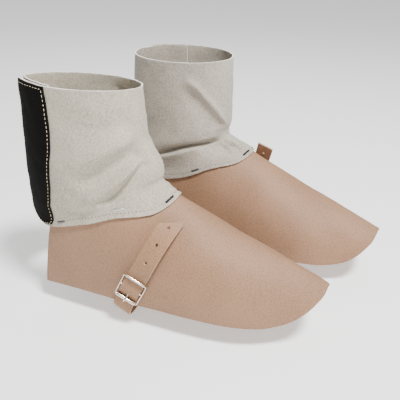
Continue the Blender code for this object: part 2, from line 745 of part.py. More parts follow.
def buckle(side, label, steel, leather, strap_body, group, cutters):
    half = BUCKLE_HALF_WIDTH
    loop = [(-half, up) for up in SIDE_MARKS]
    loop += rounded(half, TOP_UP, TOP_CORNER, 1.0)
    loop += [(half, up) for up in reversed(SIDE_MARKS)]
    loop += rounded(half, ROLLER_UP, ROLLER_CORNER, -1.0)[::-1]
    points = [buckle_place(across, up, frame_w(up)) for across, up in loop]
    frame = wire(label + "_buckle_frame", side, points, AXLE_RADIUS, steel, group, closed=True)
    bar = rod(label + "_centre_bar", side, buckle_place(-half, 0, BAR_CENTRE_W),
              buckle_place(half, 0, BAR_CENTRE_W), BAR_RADIUS, steel, cutters, 12)
    unite(frame, bar)
    top_bar = rod(label + "_top_bar", side, buckle_place(-half + TOP_BAR_INSET, TOP_UP, TOP_W),
                  buckle_place(half - TOP_BAR_INSET, TOP_UP, TOP_W), TOP_RADIUS, steel, cutters, 16)
    unite(frame, top_bar)
    roller = rod(label + "_roller", side, buckle_place(-half + ROLLER_INSET, ROLLER_UP, ROLLER_W),
                 buckle_place(half - ROLLER_INSET, ROLLER_UP, ROLLER_W), ROLLER_RADIUS, steel, group, 18)
    bore = rod(label + "_roller_bore", side, buckle_place(-half - 2, ROLLER_UP, ROLLER_W),
               buckle_place(half + 2, ROLLER_UP, ROLLER_W), AXLE_RADIUS + GAP, None, cutters, 14)
    subtract(roller, bore)
    line = [buckle_place(0.0, up, w) for up, w in PRONG_LINE]
    wire(label + "_prong", side, line, PRONG_RADIUS, steel, group)
    slot = wire(label + "_prong_slot", side, line[PRONG_SLOT_FROM:], PRONG_RADIUS + PRONG_SLOT_AIR,
                steel, cutters)
    subtract(strap_body, slot)
    width = CHAPE_WIDTH / 2
    rows = []
    for up, w in CHAPE_LINE:
        rows.append([buckle_place(across, up, w) for across in (-width, width)])
    chape = sheet(label + "_chape", side, rows, CHAPE_LEATHER, 0.0, leather, group)
    middle = buckle_place(0.0, (CHAPE_SLOT_LOW + CHAPE_SLOT_HIGH) / 2, BAR_CENTRE_W)
    size = (CHAPE_SLOT, CHAPE_SLOT_HIGH - CHAPE_SLOT_LOW, CHAPE_SLOT_DEPTH)
    subtract(chape, block(label + "_chape_slot", side, middle, size, cutters))


def block(name, side, centre, size, group):
    """Box laid in the buckle's directions: across, up along the strap, out."""
    mesh = bpy.data.meshes.new(name)
    work = bmesh.new()
    bmesh.ops.create_cube(work, size=1.0)
    middle = place(side, centre)
    origin = buckle_place(0.0, 0.0, BAR_CENTRE_W)
    axes = []
    for step in (buckle_place(1.0, 0.0, BAR_CENTRE_W), buckle_place(0.0, 1.0, BAR_CENTRE_W),
                 buckle_place(0.0, 0.0, BAR_CENTRE_W + 1.0)):
        axes.append((place(side, step) - place(side, origin)).normalized())
    for vert in work.verts:
        local = [vert.co[k] * size[k] * MM for k in range(3)]
        vert.co = middle + axes[0] * local[0] + axes[1] * local[1] + axes[2] * local[2]
    work.normal_update()
    bmesh.ops.recalc_face_normals(work, faces=work.faces)
    work.to_mesh(mesh)
    work.free()
    body = bpy.data.objects.new(name, mesh)
    group.objects.link(body)
    return body


def build_spat(side, label, mats, group, cutters):
    cuff(side, label, mats["suede"], group)
    flap(side, label, mats["flap"], group)
    strap_body = strap(side, label, mats["strap"], group, cutters)
    levels = (TAPE_LOW_LEVEL, *CUFF_LEVELS[2:-1], TAPE_HIGH_LEVEL)
    band(side, label + "_tape", TAPE_SHARES, levels, GAP, TAPE, mats["tape"], group, TAPE_CORNER_RISE)
    inner = TAPE_SHARES[1:-1]
    depth = CUFF_SUEDE + GAP + HIDDEN_TAPE
    band(side, label + "_hook_tape", inner, levels[3:-1], -depth, HIDDEN_TAPE, mats["tape"], group)
    depth += GAP + HIDDEN_TAPE
    band(side, label + "_loop_tape", inner, levels[3:-1], -depth, HIDDEN_TAPE, mats["tape"], group)
    buckle(side, label, mats["steel"], mats["strap"], strap_body, group, cutters)


start_clean()
parts = collection("pair of spats")
cutters = collection("cutters")
cutters.hide_render = True
mats = {
    "suede": material("suede split", (0.58, 0.55, 0.50), 0.95),
    "flap": material("smooth leather", (0.52, 0.36, 0.26), 0.6),
    "strap": material("strap leather", (0.55, 0.38, 0.25), 0.6),
    "tape": material("hook and loop tape", (0.012, 0.011, 0.010), 0.9),
    "steel": material("nickel plated steel", (0.75, 0.74, 0.71), 0.25, 1.0),
}
build_spat(-1, "right", mats, parts, cutters)
build_spat(1, "left", mats, parts, cutters)
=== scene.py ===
"""Finish of a pair of spats: suede cuffs, smooth leather flaps, tapes, straps, buckles.

Each spat has its own frame in millimetres: f forward to the toe, w to the outer side,
h up from the floor. Bearings run round the ankle in degrees, 0 in front and 90 on the
outer side. Levels run up the cuff, 0 at the hem and 1 at the rim. Falls run down the
flap, 0 at the neck and 1 at the outer edge.
"""

import math

import bmesh
import bpy
import numpy as np
from mathutils import Matrix, Vector, noise


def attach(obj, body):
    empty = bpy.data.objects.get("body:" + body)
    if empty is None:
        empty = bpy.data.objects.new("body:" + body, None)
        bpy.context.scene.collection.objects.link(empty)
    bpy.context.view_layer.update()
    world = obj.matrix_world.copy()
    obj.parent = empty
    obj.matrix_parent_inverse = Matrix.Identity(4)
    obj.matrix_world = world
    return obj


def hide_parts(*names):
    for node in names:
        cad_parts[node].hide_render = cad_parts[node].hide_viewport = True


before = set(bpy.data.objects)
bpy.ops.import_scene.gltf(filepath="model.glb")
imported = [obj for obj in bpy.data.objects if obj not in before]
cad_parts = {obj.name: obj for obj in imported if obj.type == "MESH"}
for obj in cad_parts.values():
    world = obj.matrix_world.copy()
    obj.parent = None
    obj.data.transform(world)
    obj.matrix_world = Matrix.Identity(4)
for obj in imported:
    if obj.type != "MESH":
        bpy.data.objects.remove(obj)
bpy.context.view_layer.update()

MM = 0.001

# Stance of the two spats
ORIGIN_ABOVE_FLOOR = 190.0
ANKLE_OUT = 83.6
LEFT_FOOT_AHEAD = 20.7
TOE_IN_DEG = 3.15
FEET = ((-1, "right"), (1, "left"))

# Leather and tape
FLAP_LEATHER = 2.0
CUFF_SUEDE = 1.8
TAPE = 1.4
HIDDEN_TAPE = 1.3
STRAP_WIDTH = 22.0
STRAP_LEATHER = 2.2
GAP = 0.3

# Hem of the cuff on the flap, seen from above, and the flap's neck inside it
HEM_CENTRE = -10.0
RIGHT_HEM_FRONT = 86.5
LEFT_HEM_FRONT = 83.0
HEM_REAR = 82.5
HEM_HALF_WIDTH = 47.0
HEM_POINT = 1.05
NECK_BEHIND_HEM = 8.0
NECK_HALF_WIDTH = 45.2
LAP_LEVEL = 0.065
LAY_END = 0.16
LAP_REAR_BEARING = 152.0
LAP_REAR_FADE = 26.0
LAP_AIR = 0.3
LAP_AIR_AT_NECK = 0.2
LAP_AIR_IN_FRONT = 0.3
LAP_FRONT_BEARING = 25.0

# Places where the hem lies further out or in. Columns: bearing, breadth, move out
HEM_SHAPE = (
    (98, 17, -0.85),
    (-70, 17, 1.3),
)

# Flap as an arch across the foot. Columns: f, edge height, half width, top, crest,
# lean. A crest of 1 is round and a higher one sharper, and the lean moves it out
ARCH = (
    (-95, 24, 38, 85, 1, 0),
    (-75, 24.5, 44, 111.5, 1, 0),
    (-60, 25.2, 46.8, 141.5, 1, 0),
    (-40, 26.2, 49.5, 182, 1, 0),
    (-20, 27, 51.7, 203, 1, 0),
    (0, 27.2, 53.5, 202, 1, 0),
    (20, 27, 55.2, 184, 1, 0),
    (40, 26.6, 56.7, 163.5, 1.12, 0),
    (60, 26.7, 58, 147.5, 1.32, 0),
    (76, 27, 58.9, 138.3, 1.34, 0.2),
    (100, 27.3, 60, 126, 1.24, 0.8),
    (145, 27, 59.8, 105.3, 1.27, 2.5),
    (165, 27, 57.5, 97.4, 1.35, 3.4),
    (180, 27, 53.6, 91.7, 1.41, 3.8),
    (193, 26.6, 48.2, 86.8, 1.47, 3.8),
    (207, 26.2, 42, 81.5, 1.50, 3.6),
    (216, 26, 39, 77.9, 1.50, 3.5),
    (225, 26, 36.6, 74.2, 1.50, 3.4),
    (233, 26, 34, 70.8, 1.50, 3.3),
    (240, 26, 30.5, 67.9, 1.50, 3.3),
    (247, 26, 27, 65.2, 1.50, 3.3),
)

# Outer edge of the flap. Columns: bearing, f, swing down the arch on the outer
# side and on the inner side
OUTER_EDGE = (
    (0, 245, 0, 0), (10, 241.5, 33.6, 39), (20, 234.5, 53, 59),
    (30, 224.5, 69, 75), (40, 210.5, 82.3, 86), (50, 191, 89, 90),
    (60, 164, 90, 90), (70, 131, 90, 90), (80, 94, 90, 90),
    (90, 57, 90, 90), (100, 22, 90, 90), (110, -10, 90, 90),
    (120, -41, 90, 90), (130, -70.5, 90, 90),
)
FLAP_REAR_BEARING = 130.0

# Rings of the cuff from hem to rim. Columns: level, height in front, height
# behind, f of the front, f of the back, half width, f of the centre
RIGHT_RINGS = (
    (0.00, 138.6, 90.5, 77.6, -95, 49.2, -10),
    (0.06, 145.5, 99, 69.5, -97.5, 48.8, -12),
    (0.12, 151.5, 107, 58.5, -98.8, 48.4, -15),
    (0.20, 160.5, 117, 59, -99.2, 48, -19),
    (0.29, 171, 129, 57, -99.2, 47.8, -22),
    (0.37, 180, 140, 51.4, -99, 47.6, -25),
    (0.44, 188, 150, 45.3, -98.8, 47.5, -27),
    (0.52, 196.5, 161, 40.5, -98.1, 47.5, -28),
    (0.68, 214, 187, 39, -96.3, 47.5, -28),
    (0.84, 231, 218, 37, -95.1, 47.5, -28),
    (1.00, 248.5, 249.7, 35, -93.4, 47.5, -28),
)
LEFT_RINGS = (
    (0.00, 138.6, 90.5, 77.6, -95, 49.2, -10),
    (0.06, 145, 99, 60, -97.5, 48.6, -13),
    (0.12, 151.5, 107, 47, -98.8, 47.8, -17),
    (0.20, 157, 117, 38.5, -99.2, 47, -22),
    (0.29, 164, 129, 36.5, -99.2, 46.8, -25),
    (0.37, 173, 140, 39, -99, 47.2, -27),
    (0.44, 181, 150, 39.5, -98.8, 47.5, -28),
    (0.52, 191, 161, 39.5, -98.1, 47.5, -28),
    (0.68, 211, 188.5, 39, -96.3, 47.5, -28),
    (0.84, 231.5, 219.5, 38, -95.1, 47.5, -28),
    (1.00, 253.5, 252.5, 37, -93.4, 47.5, -28),
)
RING_CREST = 0.3
CREST_WHOLE_LEVEL = 0.12
CREST_END_LEVEL = 0.30
RIM_OUTER_SIDE_RISE = 2.6
RIM_REAR_RISE = 2.0
RIM_REAR_BEARING = 138.0
RIM_REAR_BREADTH = 28.0

# Folds of the suede. Columns: height of the fold out of the wall, half breadth
# above it and below it, sharpness (2 is a soft wave, 1 a crease), and its line
# as marks of bearing and level. The outer side's are those of the right cuff,
# and the inner side's those of the left cuff
FLAT_MM_PER_DEGREE = 0.96
FLAT_MM_PER_LEVEL = 130.0
FOLDS_FROM_LEVEL = 0.066
FOLDS_WHOLE_AT_LEVEL = 0.088
FOLD_RIDGE = 2.0
FOLD_FADE = 0.22
OUTER_FOLDS = (
    (-7.6, 10, 9, 1.9, ((90, 0.27), (75, 0.33), (62, 0.37), (47, 0.40), (27, 0.44), (8, 0.47))),
    (6.4, 6.5, 4.4, 1.7, ((90, 0.12), (78, 0.17), (65, 0.24), (51, 0.30), (38, 0.35), (20, 0.41))),
    (-6.6, 3.2, 6, 1.5, ((80, 0.13), (60, 0.15), (44, 0.26), (29, 0.34), (11, 0.38))),
    (2, 6, 3.6, 1.8, ((108, 0.14), (74, 0.115), (47, 0.11), (28, 0.12))),
    (3.4, 13, 10, 2, ((92, 0.47), (70, 0.51), (48, 0.54), (20, 0.60))),
    (-2.6, 12, 12, 2, ((84, 0.76), (66, 0.74), (44, 0.70), (14, 0.74))),
)
INNER_FOLDS = (
    (3.4, 3.2, 6, 1.5, ((-74, 0.93), (-66, 0.87), (-57, 0.81), (-45, 0.70), (-34, 0.59), (-21, 0.46),
                        (-6, 0.36))),
    (-2.6, 7, 12, 2, ((-80, 0.80), (-62, 0.74), (-50, 0.62), (-38, 0.50), (-24, 0.40), (-8, 0.32))),
    (3.4, 13, 5.5, 2, ((-124, 0.27), (-100, 0.29), (-70, 0.30), (-46, 0.29), (-22, 0.29))),
    (-6.6, 4.4, 3, 1.3, ((-116, 0.19), (-100, 0.20), (-78, 0.23), (-60, 0.225), (-42, 0.205), (-31, 0.193),
                           (-16, 0.183))),
    (3.8, 4.2, 5, 1.8, ((-112, 0.15), (-72, 0.165), (-50, 0.16))),
    (-5, 6, 1.8, 1.3, ((-52, 0.140), (-43, 0.112), (-35, 0.094), (-27, 0.086), (-10, 0.084))),
    (2.4, 2.2, 3, 1.6, ((-46, 0.095), (-36, 0.076), (-26, 0.070), (-12, 0.068))),
    (-3, 5, 5, 2, ((-40, 0.17), (-34, 0.145), (-26, 0.13))),
    (-6, 2.2, 2, 1.4, ((-23, 0.145), (-13, 0.120))),
    (1.6, 2.5, 2.5, 1.6, ((-27, 0.14), (-22, 0.115), (-16, 0.11))),
    (1.2, 13, 12, 2, ((-88, 0.50), (-66, 0.44), (-46, 0.36))),
)
REAR_FOLDS = (
    (-2.2, 8, 6, 1.9, ((-124, 0.32), (-145, 0.38), (-166, 0.44))),
    (2, 6, 6, 1.8, ((-118, 0.23), (-140, 0.27), (-162, 0.31))),
)
# The sides turned away have like folds, a little moved and flatter
UNSEEN_BEARING_SHIFT = 6.0
UNSEEN_LEVEL_SHIFT = 0.035
UNSEEN_SHARE = 0.8

# The cuff is one strip from under the tape, forward round the ankle and inside
# its own start
CUFF_COLUMNS_ROUND = 200
CUFF_COLUMNS_UNDER_TAPE = 26
CUFF_ROWS = 84
CUFF_START_PAST_TAPE = 2.0
TUCK_DEPTH = CUFF_SUEDE + 2 * HIDDEN_TAPE + 3 * GAP
TUCK_FROM_BEARING = -182.0
TUCK_BREADTH = 24.0

# Tape. Columns: level, bearing of its front edge, bearing of its rear edge
TAPE_EDGES = (
    (0.00, 124.5, 158), (0.06, 122, 157), (0.12, 119, 156),
    (0.21, 114.5, 154.5), (0.34, 110, 153), (0.46, 107, 152),
    (0.61, 103, 150.5), (0.80, 101.3, 149.5), (1.00, 103, 149.5),
)
TAPE_LOW_LEVEL = 0.028
TAPE_HIGH_LEVEL = 0.997
TAPE_CORNER_SHARE = 0.45
TAPE_CORNER_RISE = 0.10
TAPE_CORNER_POWER = 2.2
HIDDEN_TAPE_LEVELS = (0.12, 0.74)
HIDDEN_TAPE_SHARES = (0.17, 0.83)

# Line of the strap. Columns: f, w, h, slope of its breadth in degrees, twist
STRAP_LINE = (
    (24, -49.2, 62, 0, 0),
    (24.4, -50.3, 46, 0, 0),
    (25, -50.8, 30, 0, 0),
    (25.3, -49, 19.5, 0, 0),
    (25.6, -44, 12, 0, 0),
    (26, -34, 8.6, 0, 0),
    (26.6, -12, 7.6, 3, 0),
    (27, 12, 7.6, 8, 0),
    (27.6, 34, 8.6, 18, 0),
    (28.6, 46.5, 11.6, 27, 0),
    (30.2, 55.2, 16.2, 30, 0),
    (31.6, 58.2, 21.5, 29, 0),
    (33.8, 59.1, 27.5, 28, 0),
    (38.2, 59.2, 37.6, 26, 0),
    (41, 61, 43.4, 26, 0),
    (43.9, 63.8, 49.3, 26, 0),
    (47.4, 62.6, 56.5, 26, 0),
    (51.3, 60.6, 64.4, 26, 0),
)
RIGHT_STRAP_END = (
    (55.5, 61.2, 72.8, 26, 7),
    (60.5, 61, 83, 26, 13),
    (66, 57.8, 94.5, 26, 15),
    (71, 51.5, 105, 26, 13),
    (76.3, 42, 115, 26, 9),
    (80.6, 31.8, 122.6, 26, 5),
)
LEFT_STRAP_END = (
    (55.5, 61.6, 74, 26, 2),
    (61, 60.6, 87, 26, 4),
    (66.5, 56.8, 100.5, 26, 5),
    (71.5, 50.4, 113.5, 25, 5),
    (76, 42.4, 126, 23, 4),
    (80, 34, 138, 21, 3),
)
STRAP_ROWS = 220
STRAP_COLUMNS = 14
STRAP_ROW_AT_ROLLER = 13
STRAP_HOLE_RADIUS = 1.7
STRAP_HOLE_REACH = 5.0
STRAP_HOLES = (56.0, 78.0, 99.5)
STRAP_TIP_CORNER = 1.2
STRAP_SLANT_FROM = 34.0
RIGHT_STRAP_SLANT = 8.5
LEFT_STRAP_SLANT = 0.5

# Buckle, laid along the strap
BUCKLE_F = 43.9
BUCKLE_H = 49.3
BUCKLE_SLOPE_DEG = 26.0
BUCKLE_HALF_WIDTH = 13.4
BAR_CENTRE_W = 59.5
BAR_RADIUS = 1.0
ROLLER_UP = -13.0
ROLLER_W = 62.6
ROLLER_RADIUS = 2.0
ROLLER_INSET = 2.0
BORE_PAST_ENDS = 2.0
AXLE_RADIUS = 0.9
TOP_UP = 16.8
TOP_W = 63.8
TOP_RADIUS = 1.5
TOP_CORNER = 2.6
TOP_INSET = 2.2
ROLLER_CORNER = 1.6
PRONG_RADIUS = 0.8
PRONG_SLOT_AIR = 0.5
PRONG_SLOT_FROM = 4
CHAPE_WIDTH = 14.0
CHAPE_LEATHER = 1.0
CHAPE_SLOT = 3.4
CHAPE_SLOT_ROWS = (-4.0, 4.2)
CHAPE_SLOT_DEPTH = 9.0
PRONG_LINE = (
    (1.95, 58.9), (0.70, 57.57), (-1.03, 57.72), (-2.02, 59.14),
    (-2.6, 60.6), (-5, 60.8), (-7.6, 61.5), (-10, 63.6),
    (-11.4, 65.2), (-13.2, 65.8), (-15.4, 65.2),
)
CHAPE_LINE = (
    (18, 56.6), (12, 56.9), (7, 57.2), (3.5, 57.5),
    (0.45, 57.81), (-0.9, 58), (-1.69, 59.05), (-1.69, 59.95),
    (-0.9, 61), (0.45, 61.19), (3, 60.4), (5.5, 59.2),
    (8, 58.7), (12, 58.3), (17.4, 58),
)

# Sewing and staples
STITCH_UNEVEN = 0.16
TAPE_STITCH = 3.0
TAPE_STITCH_GAP = 1.3
TAPE_THREAD_RADIUS = 0.33
TAPE_SEAM_INSET = 2.4
HEM_STITCH = 1.7
HEM_STITCH_GAP = 2.3
HEM_THREAD_RADIUS = 0.5
RIGHT_HEM_SEAM_LEVEL = 0.042
LEFT_HEM_SEAM_LEVEL = 0.031
STAPLE_CROWN = 10.5
STAPLE_WIRE = 1.4
# Columns: bearing, level, finish, for both cuffs
STAPLES = (
    (113, 0.040, "grey"),
    (63.5, 0.072, "light"),
    (14.8, 0.034, "dark"),
    (-13.5, 0.036, "dark"),
    (-73.5, 0.036, "grey"),
    (-122, 0.040, "grey"),
)
STAPLE_PROBE_DEG = 1.5
PROBE_LEVELS = 0.01
STAPLE_BEND = 1.0
STAPLE_SHOULDER = -1.5
STAPLE_LEG = ((0.0, -2.2), (0.0, -1.6))
HEM_SEAM_BEARINGS = (118.0, -122.0)
HEM_SEAM_MARKS = 220
TAPE_SEAM_MARKS_UP = 160
TAPE_SEAM_MARKS_ACROSS = 60
STITCH_WAVES = (2.4, 0.77)
STITCH_BOW = 0.9

# How finely the sheets are laid out, in columns and rows
FLAP_COLUMNS_BESIDE = 64
FLAP_COLUMNS_IN_FRONT = 60
FLAP_FRONT_BEARING = 30
FLAP_ROWS = 76
TAPE_COLUMNS = 30
TAPE_ROWS = 90
HIDDEN_TAPE_COLUMNS = 16
HIDDEN_TAPE_ROWS = 40
CHAPE_COLUMNS = 9
WELD = 0.005

# Unevenness of the leather: sizes and heights of its swellings, where it starts
CUFF_SWELLING = ((26.0, 11.0), (0.7, 0.40))
CUFF_SWELLING_LEVELS = (0.08, 0.2)
FLAP_SWELLING = ((48.0, 17.0), (1.1, 0.22))
FLAP_SWELLING_FALLS = (0.10, 0.3)
# Soft waves of the cuff's two cut edges
EDGE_WAVE = 0.28
EDGE_WAVE_LEVELS = 0.02
EDGE_WAVES_ROUND = (23, 7)
RIM_WAVE_SHARE = 0.7


def curve_value(table, column, x):
    """Smooth value of a column at x, where the first column is in rising order."""
    if x <= table[0][0]:
        return table[0][column]
    if x >= table[-1][0]:
        return table[-1][column]
    k = 0
    while table[k + 1][0] < x:
        k += 1

    def slope(i):
        low = max(i - 1, 0)
        high = min(i + 1, len(table) - 1)
        return (table[high][column] - table[low][column]) / (table[high][0] - table[low][0])

    step = table[k + 1][0] - table[k][0]
    u = (x - table[k][0]) / step
    a = table[k][column]
    b = table[k + 1][column]
    return (
        a * (1 + 2 * u) * (1 - u) ** 2
        + slope(k) * step * u * (1 - u) ** 2
        + b * u * u * (3 - 2 * u)
        + slope(k + 1) * step * u * u * (u - 1)
    )


def ramp(value, start, end):
    """0 before the start and 1 past the end, for a number or an array."""
    return np.clip((value - start) / (end - start), 0.0, 1.0)


def ease(share):
    return share * share * (3 - 2 * share)


def place(side, points):
    """Foot frame in millimetres to the shared frame in metres, for one point or many."""
    points = np.asarray(points, dtype=float)
    f, w, h = points[..., 0], points[..., 1], points[..., 2]
    turn = math.radians(TOE_IN_DEG)
    x = side * ANKLE_OUT - side * math.sin(turn) * f + side * math.cos(turn) * w
    y = -side * LEFT_FOOT_AHEAD - math.cos(turn) * f - math.sin(turn) * w
    return np.stack((x, y, h - ORIGIN_ABOVE_FLOOR), axis=-1) * MM


def oval_side(half_width, bearing):
    """Side reach of the hem's oval at a bearing, + outer side."""
    sin = math.sin(math.radians(abs(bearing)))
    reach = half_width * sin ** (HEM_POINT if abs(bearing) < 90 else 1.0)
    for at, breadth, move in HEM_SHAPE:
        reach += move * math.exp(-(((bearing - at) / breadth) ** 2))
    return reach


def arch_raw(f, swing):
    edge, half, top, crest, lean = (curve_value(ARCH, k, f) for k in range(1, 6))
    sin = math.sin(math.radians(swing))
    cos = math.cos(math.radians(swing))
    return Vector((f, math.copysign(half * abs(sin) ** crest, sin) + lean * cos, edge + (top - edge) * cos))


def arch_point(f, swing, out=0.0):
    """Point of the flap's outer face, swing degrees down from the crest, + outer side."""
    point = arch_raw(f, swing)
    if out == 0.0:
        return point
    along = arch_raw(f + 1.0, swing) - arch_raw(f - 1.0, swing)
    down = arch_raw(f, swing + 1.0) - arch_raw(f, swing - 1.0)
    return point + along.cross(down).normalized() * out


def arch_swing(f, w):
    """Swing down the arch of a place w out from its crest."""
    share = min(1.0, w / curve_value(ARCH, 2, f))
    return math.degrees(math.asin(share ** (1 / curve_value(ARCH, 4, f))))


def hem_front(side):
    return RIGHT_HEM_FRONT if side < 0 else LEFT_HEM_FRONT


def flap_point(side, bearing, fall, out=0.0):
    """Fall is 0 at the neck edge and 1 at the outer edge. Bearing has a sign."""
    size = abs(bearing)
    reach = hem_front(side) - NECK_BEHIND_HEM if size < 90 else HEM_REAR
    neck_f = HEM_CENTRE + reach * math.cos(math.radians(size))
    neck_swing = arch_swing(neck_f, oval_side(NECK_HALF_WIDTH, bearing))
    edge_f = curve_value(OUTER_EDGE, 1, size)
    edge_swing = curve_value(OUTER_EDGE, 2 if bearing > 0 else 3, size)
    f = neck_f + (edge_f - neck_f) * fall
    swing = neck_swing + (edge_swing - neck_swing) * fall
    return arch_point(f, math.copysign(swing, bearing), out)


def lay_point(side, bearing, share):
    """Outer face of the cuff where it laps the flap: share 0 at the hem, 1 at the neck."""
    size = abs(bearing)
    half = HEM_HALF_WIDTH + (NECK_HALF_WIDTH - HEM_HALF_WIDTH) * share
    reach = hem_front(side) - NECK_BEHIND_HEM * share if size < 90 else HEM_REAR
    f = HEM_CENTRE + reach * math.cos(math.radians(size))
    swing = arch_swing(f, oval_side(half, bearing))
    air = LAP_AIR + LAP_AIR_AT_NECK * min(share, 1.0)
    air += LAP_AIR_IN_FRONT * max(0.0, 1 - size / LAP_FRONT_BEARING)
    return arch_point(f, math.copysign(swing, bearing), CUFF_SUEDE + GAP + air)


def cuff_wall(side, bearing, level):
    """Outer face of the cuff's wall before its folds."""
    rings = RIGHT_RINGS if side < 0 else LEFT_RINGS
    rad = math.radians(bearing)
    cos, sin = math.cos(rad), math.sin(rad)
    front_h, rear_h, front, rear, half, centre = (curve_value(rings, k, level) for k in range(1, 7))
    reach = front - centre if cos > 0 else centre - rear
    f = centre + reach * cos
    w = half * sin
    if cos > 0:
        w *= abs(sin) ** (RING_CREST * float(ramp(level, CREST_END_LEVEL, CREST_WHOLE_LEVEL)))
    h = rear_h + (front_h - rear_h) * (f - rear) / (front - rear)
    h += RIM_OUTER_SIDE_RISE * level * sin
    round_bearing = (bearing + 180.0) % 360.0 - 180.0
    past = (round_bearing - RIM_REAR_BEARING) / RIM_REAR_BREADTH
    h += RIM_REAR_RISE * level ** 2 * math.exp(-past ** 2)
    point = Vector((f, w, h))
    if level < LAY_END:
        size = abs(round_bearing)
        laid = math.copysign(min(size, LAP_REAR_BEARING), round_bearing)
        lay = lay_point(side, laid, level / LAP_LEVEL)
        keep = ramp(level, LAY_END, LAP_LEVEL)
        keep *= ramp(size, LAP_REAR_BEARING, LAP_REAR_BEARING - LAP_REAR_FADE)
        point = point.lerp(lay, float(ease(keep)))
    return point


def smooth_line(marks, steps=6):
    """Smooth line through the marks, as an array."""
    marks = [np.asarray(mark, dtype=float) for mark in marks]
    line = []
    for k in range(len(marks) - 1):
        before = marks[max(k - 1, 0)]
        after = marks[min(k + 2, len(marks) - 1)]
        a, b = marks[k], marks[k + 1]
        for step in range(steps):
            u = step / steps
            line.append(
                0.5 * (2 * a + (b - before) * u + (2 * before - 5 * a + 4 * b - after) * u * u
                       + (3 * a - before - 3 * b + after) * u ** 3)
            )
    line.append(marks[-1])
    return np.array(line)


def fold_relief(fold, bearings, levels, bearing_shift, level_shift):
    """Height of one fold over arrays of bearings and levels."""
    height, above, below, sharpness, marks = fold
    line = smooth_line(marks) + np.array((bearing_shift, level_shift))
    middle = float(line[:, 0].mean())
    near = middle + (bearings - middle + 180.0) % 360.0 - 180.0
    x = near * FLAT_MM_PER_DEGREE
    y = levels * FLAT_MM_PER_LEVEL
    line = line * np.array((FLAT_MM_PER_DEGREE, FLAT_MM_PER_LEVEL))
    lengths = np.hypot(*(line[1:] - line[:-1]).T)
    total = lengths.sum()
    best = np.full(x.shape, 1e9)
    share = np.zeros(x.shape)
    over = np.zeros(x.shape)
    gone = 0.0
    for a, b, length in zip(line[:-1], line[1:], lengths):
        way = (b - a) / length
        up = np.array((-way[1], way[0]))
        if up[1] < 0:
            up = -up
        along = np.clip((x - a[0]) * way[0] + (y - a[1]) * way[1], 0.0, length)
        off_x = x - a[0] - way[0] * along
        off_y = y - a[1] - way[1] * along
        distance = np.hypot(off_x, off_y)
        closer = distance < best
        best = np.where(closer, distance, best)
        share = np.where(closer, (gone + along) / total, share)
        over = np.where(closer, off_x * up[0] + off_y * up[1], over)
        gone += length
    breadth = below + (above - below) * ease(ramp(over, -FOLD_RIDGE, FOLD_RIDGE))
    ends = ease(ramp(share, 0.0, FOLD_FADE)) * ease(ramp(share, 1.0, 1 - FOLD_FADE))
    return height * ends * np.exp(-((best / breadth) ** sharpness))


def folds(side, bearings, levels):
    """Relief of the cuff's folds over its wall."""
    total = np.zeros(bearings.shape)
    for table, seen in ((OUTER_FOLDS, side < 0), (INNER_FOLDS, side > 0), (REAR_FOLDS, True)):
        share = 1.0 if seen else UNSEEN_SHARE
        move = 0.0 if seen else 1.0
        for fold in table:
            total += share * fold_relief(fold, bearings, levels, move * UNSEEN_BEARING_SHIFT * side,
                                         move * UNSEEN_LEVEL_SHIFT)
    return total * ramp(levels, FOLDS_FROM_LEVEL, FOLDS_WHOLE_AT_LEVEL)


def unevenness(points, sizes, heights, seed):
    """Soft random relief at each point, seeded, in millimetres."""
    flat = points.reshape(-1, 3)
    relief = np.zeros(len(flat))
    for size, height in zip(sizes, heights):
        shift = seed * 7.3 + size
        relief += height * np.array([
            noise.noise(Vector((p[0] / size + shift, p[1] / size - shift, p[2] / size))) for p in flat
        ])
    return relief.reshape(points.shape[:2])


def grid_normals(points, outward):
    """Unit normals of a grid of points, on the side that the outward grid points to."""
    along = np.gradient(points, axis=0)
    across = np.gradient(points, axis=1)
    normals = np.cross(along, across)
    normals /= np.linalg.norm(normals, axis=2, keepdims=True) + 1e-12
    turned = np.sum(normals * outward, axis=2, keepdims=True) < 0
    return np.where(turned, -normals, normals)


def cuff_surface(side, bearings, levels, out):
    """Points of the cuff over arrays of bearings and levels, moved out by a distance."""
    wall = np.array([
        [cuff_wall(side, bearing, level) for bearing, level in zip(row_b, row_l)]
        for row_b, row_l in zip(bearings, levels)
    ])
    rad = np.radians(bearings)
    outward = np.stack((np.cos(rad), np.sin(rad), np.zeros(rad.shape)), axis=-1)
    normals = grid_normals(wall, outward)
    relief = folds(side, bearings, levels)
    relief += unevenness(wall, *CUFF_SWELLING, side) * ramp(levels, *CUFF_SWELLING_LEVELS)
    return wall + normals * (relief + out)[..., None], normals


def to_piece(name, work, finishes, smooth=True, sharp_from=None):
    """Piece made of a mesh under work, with its finishes."""
    mesh = bpy.data.meshes.new(name)
    work.to_mesh(mesh)
    work.free()
    if smooth:
        mesh.shade_smooth()
    if sharp_from:
        mesh.set_sharp_from_angle(angle=math.radians(sharp_from))
    for finish in finishes:
        mesh.materials.append(finish)
    piece = bpy.data.objects.new(name, mesh)
    bpy.context.scene.collection.objects.link(piece)
    return piece


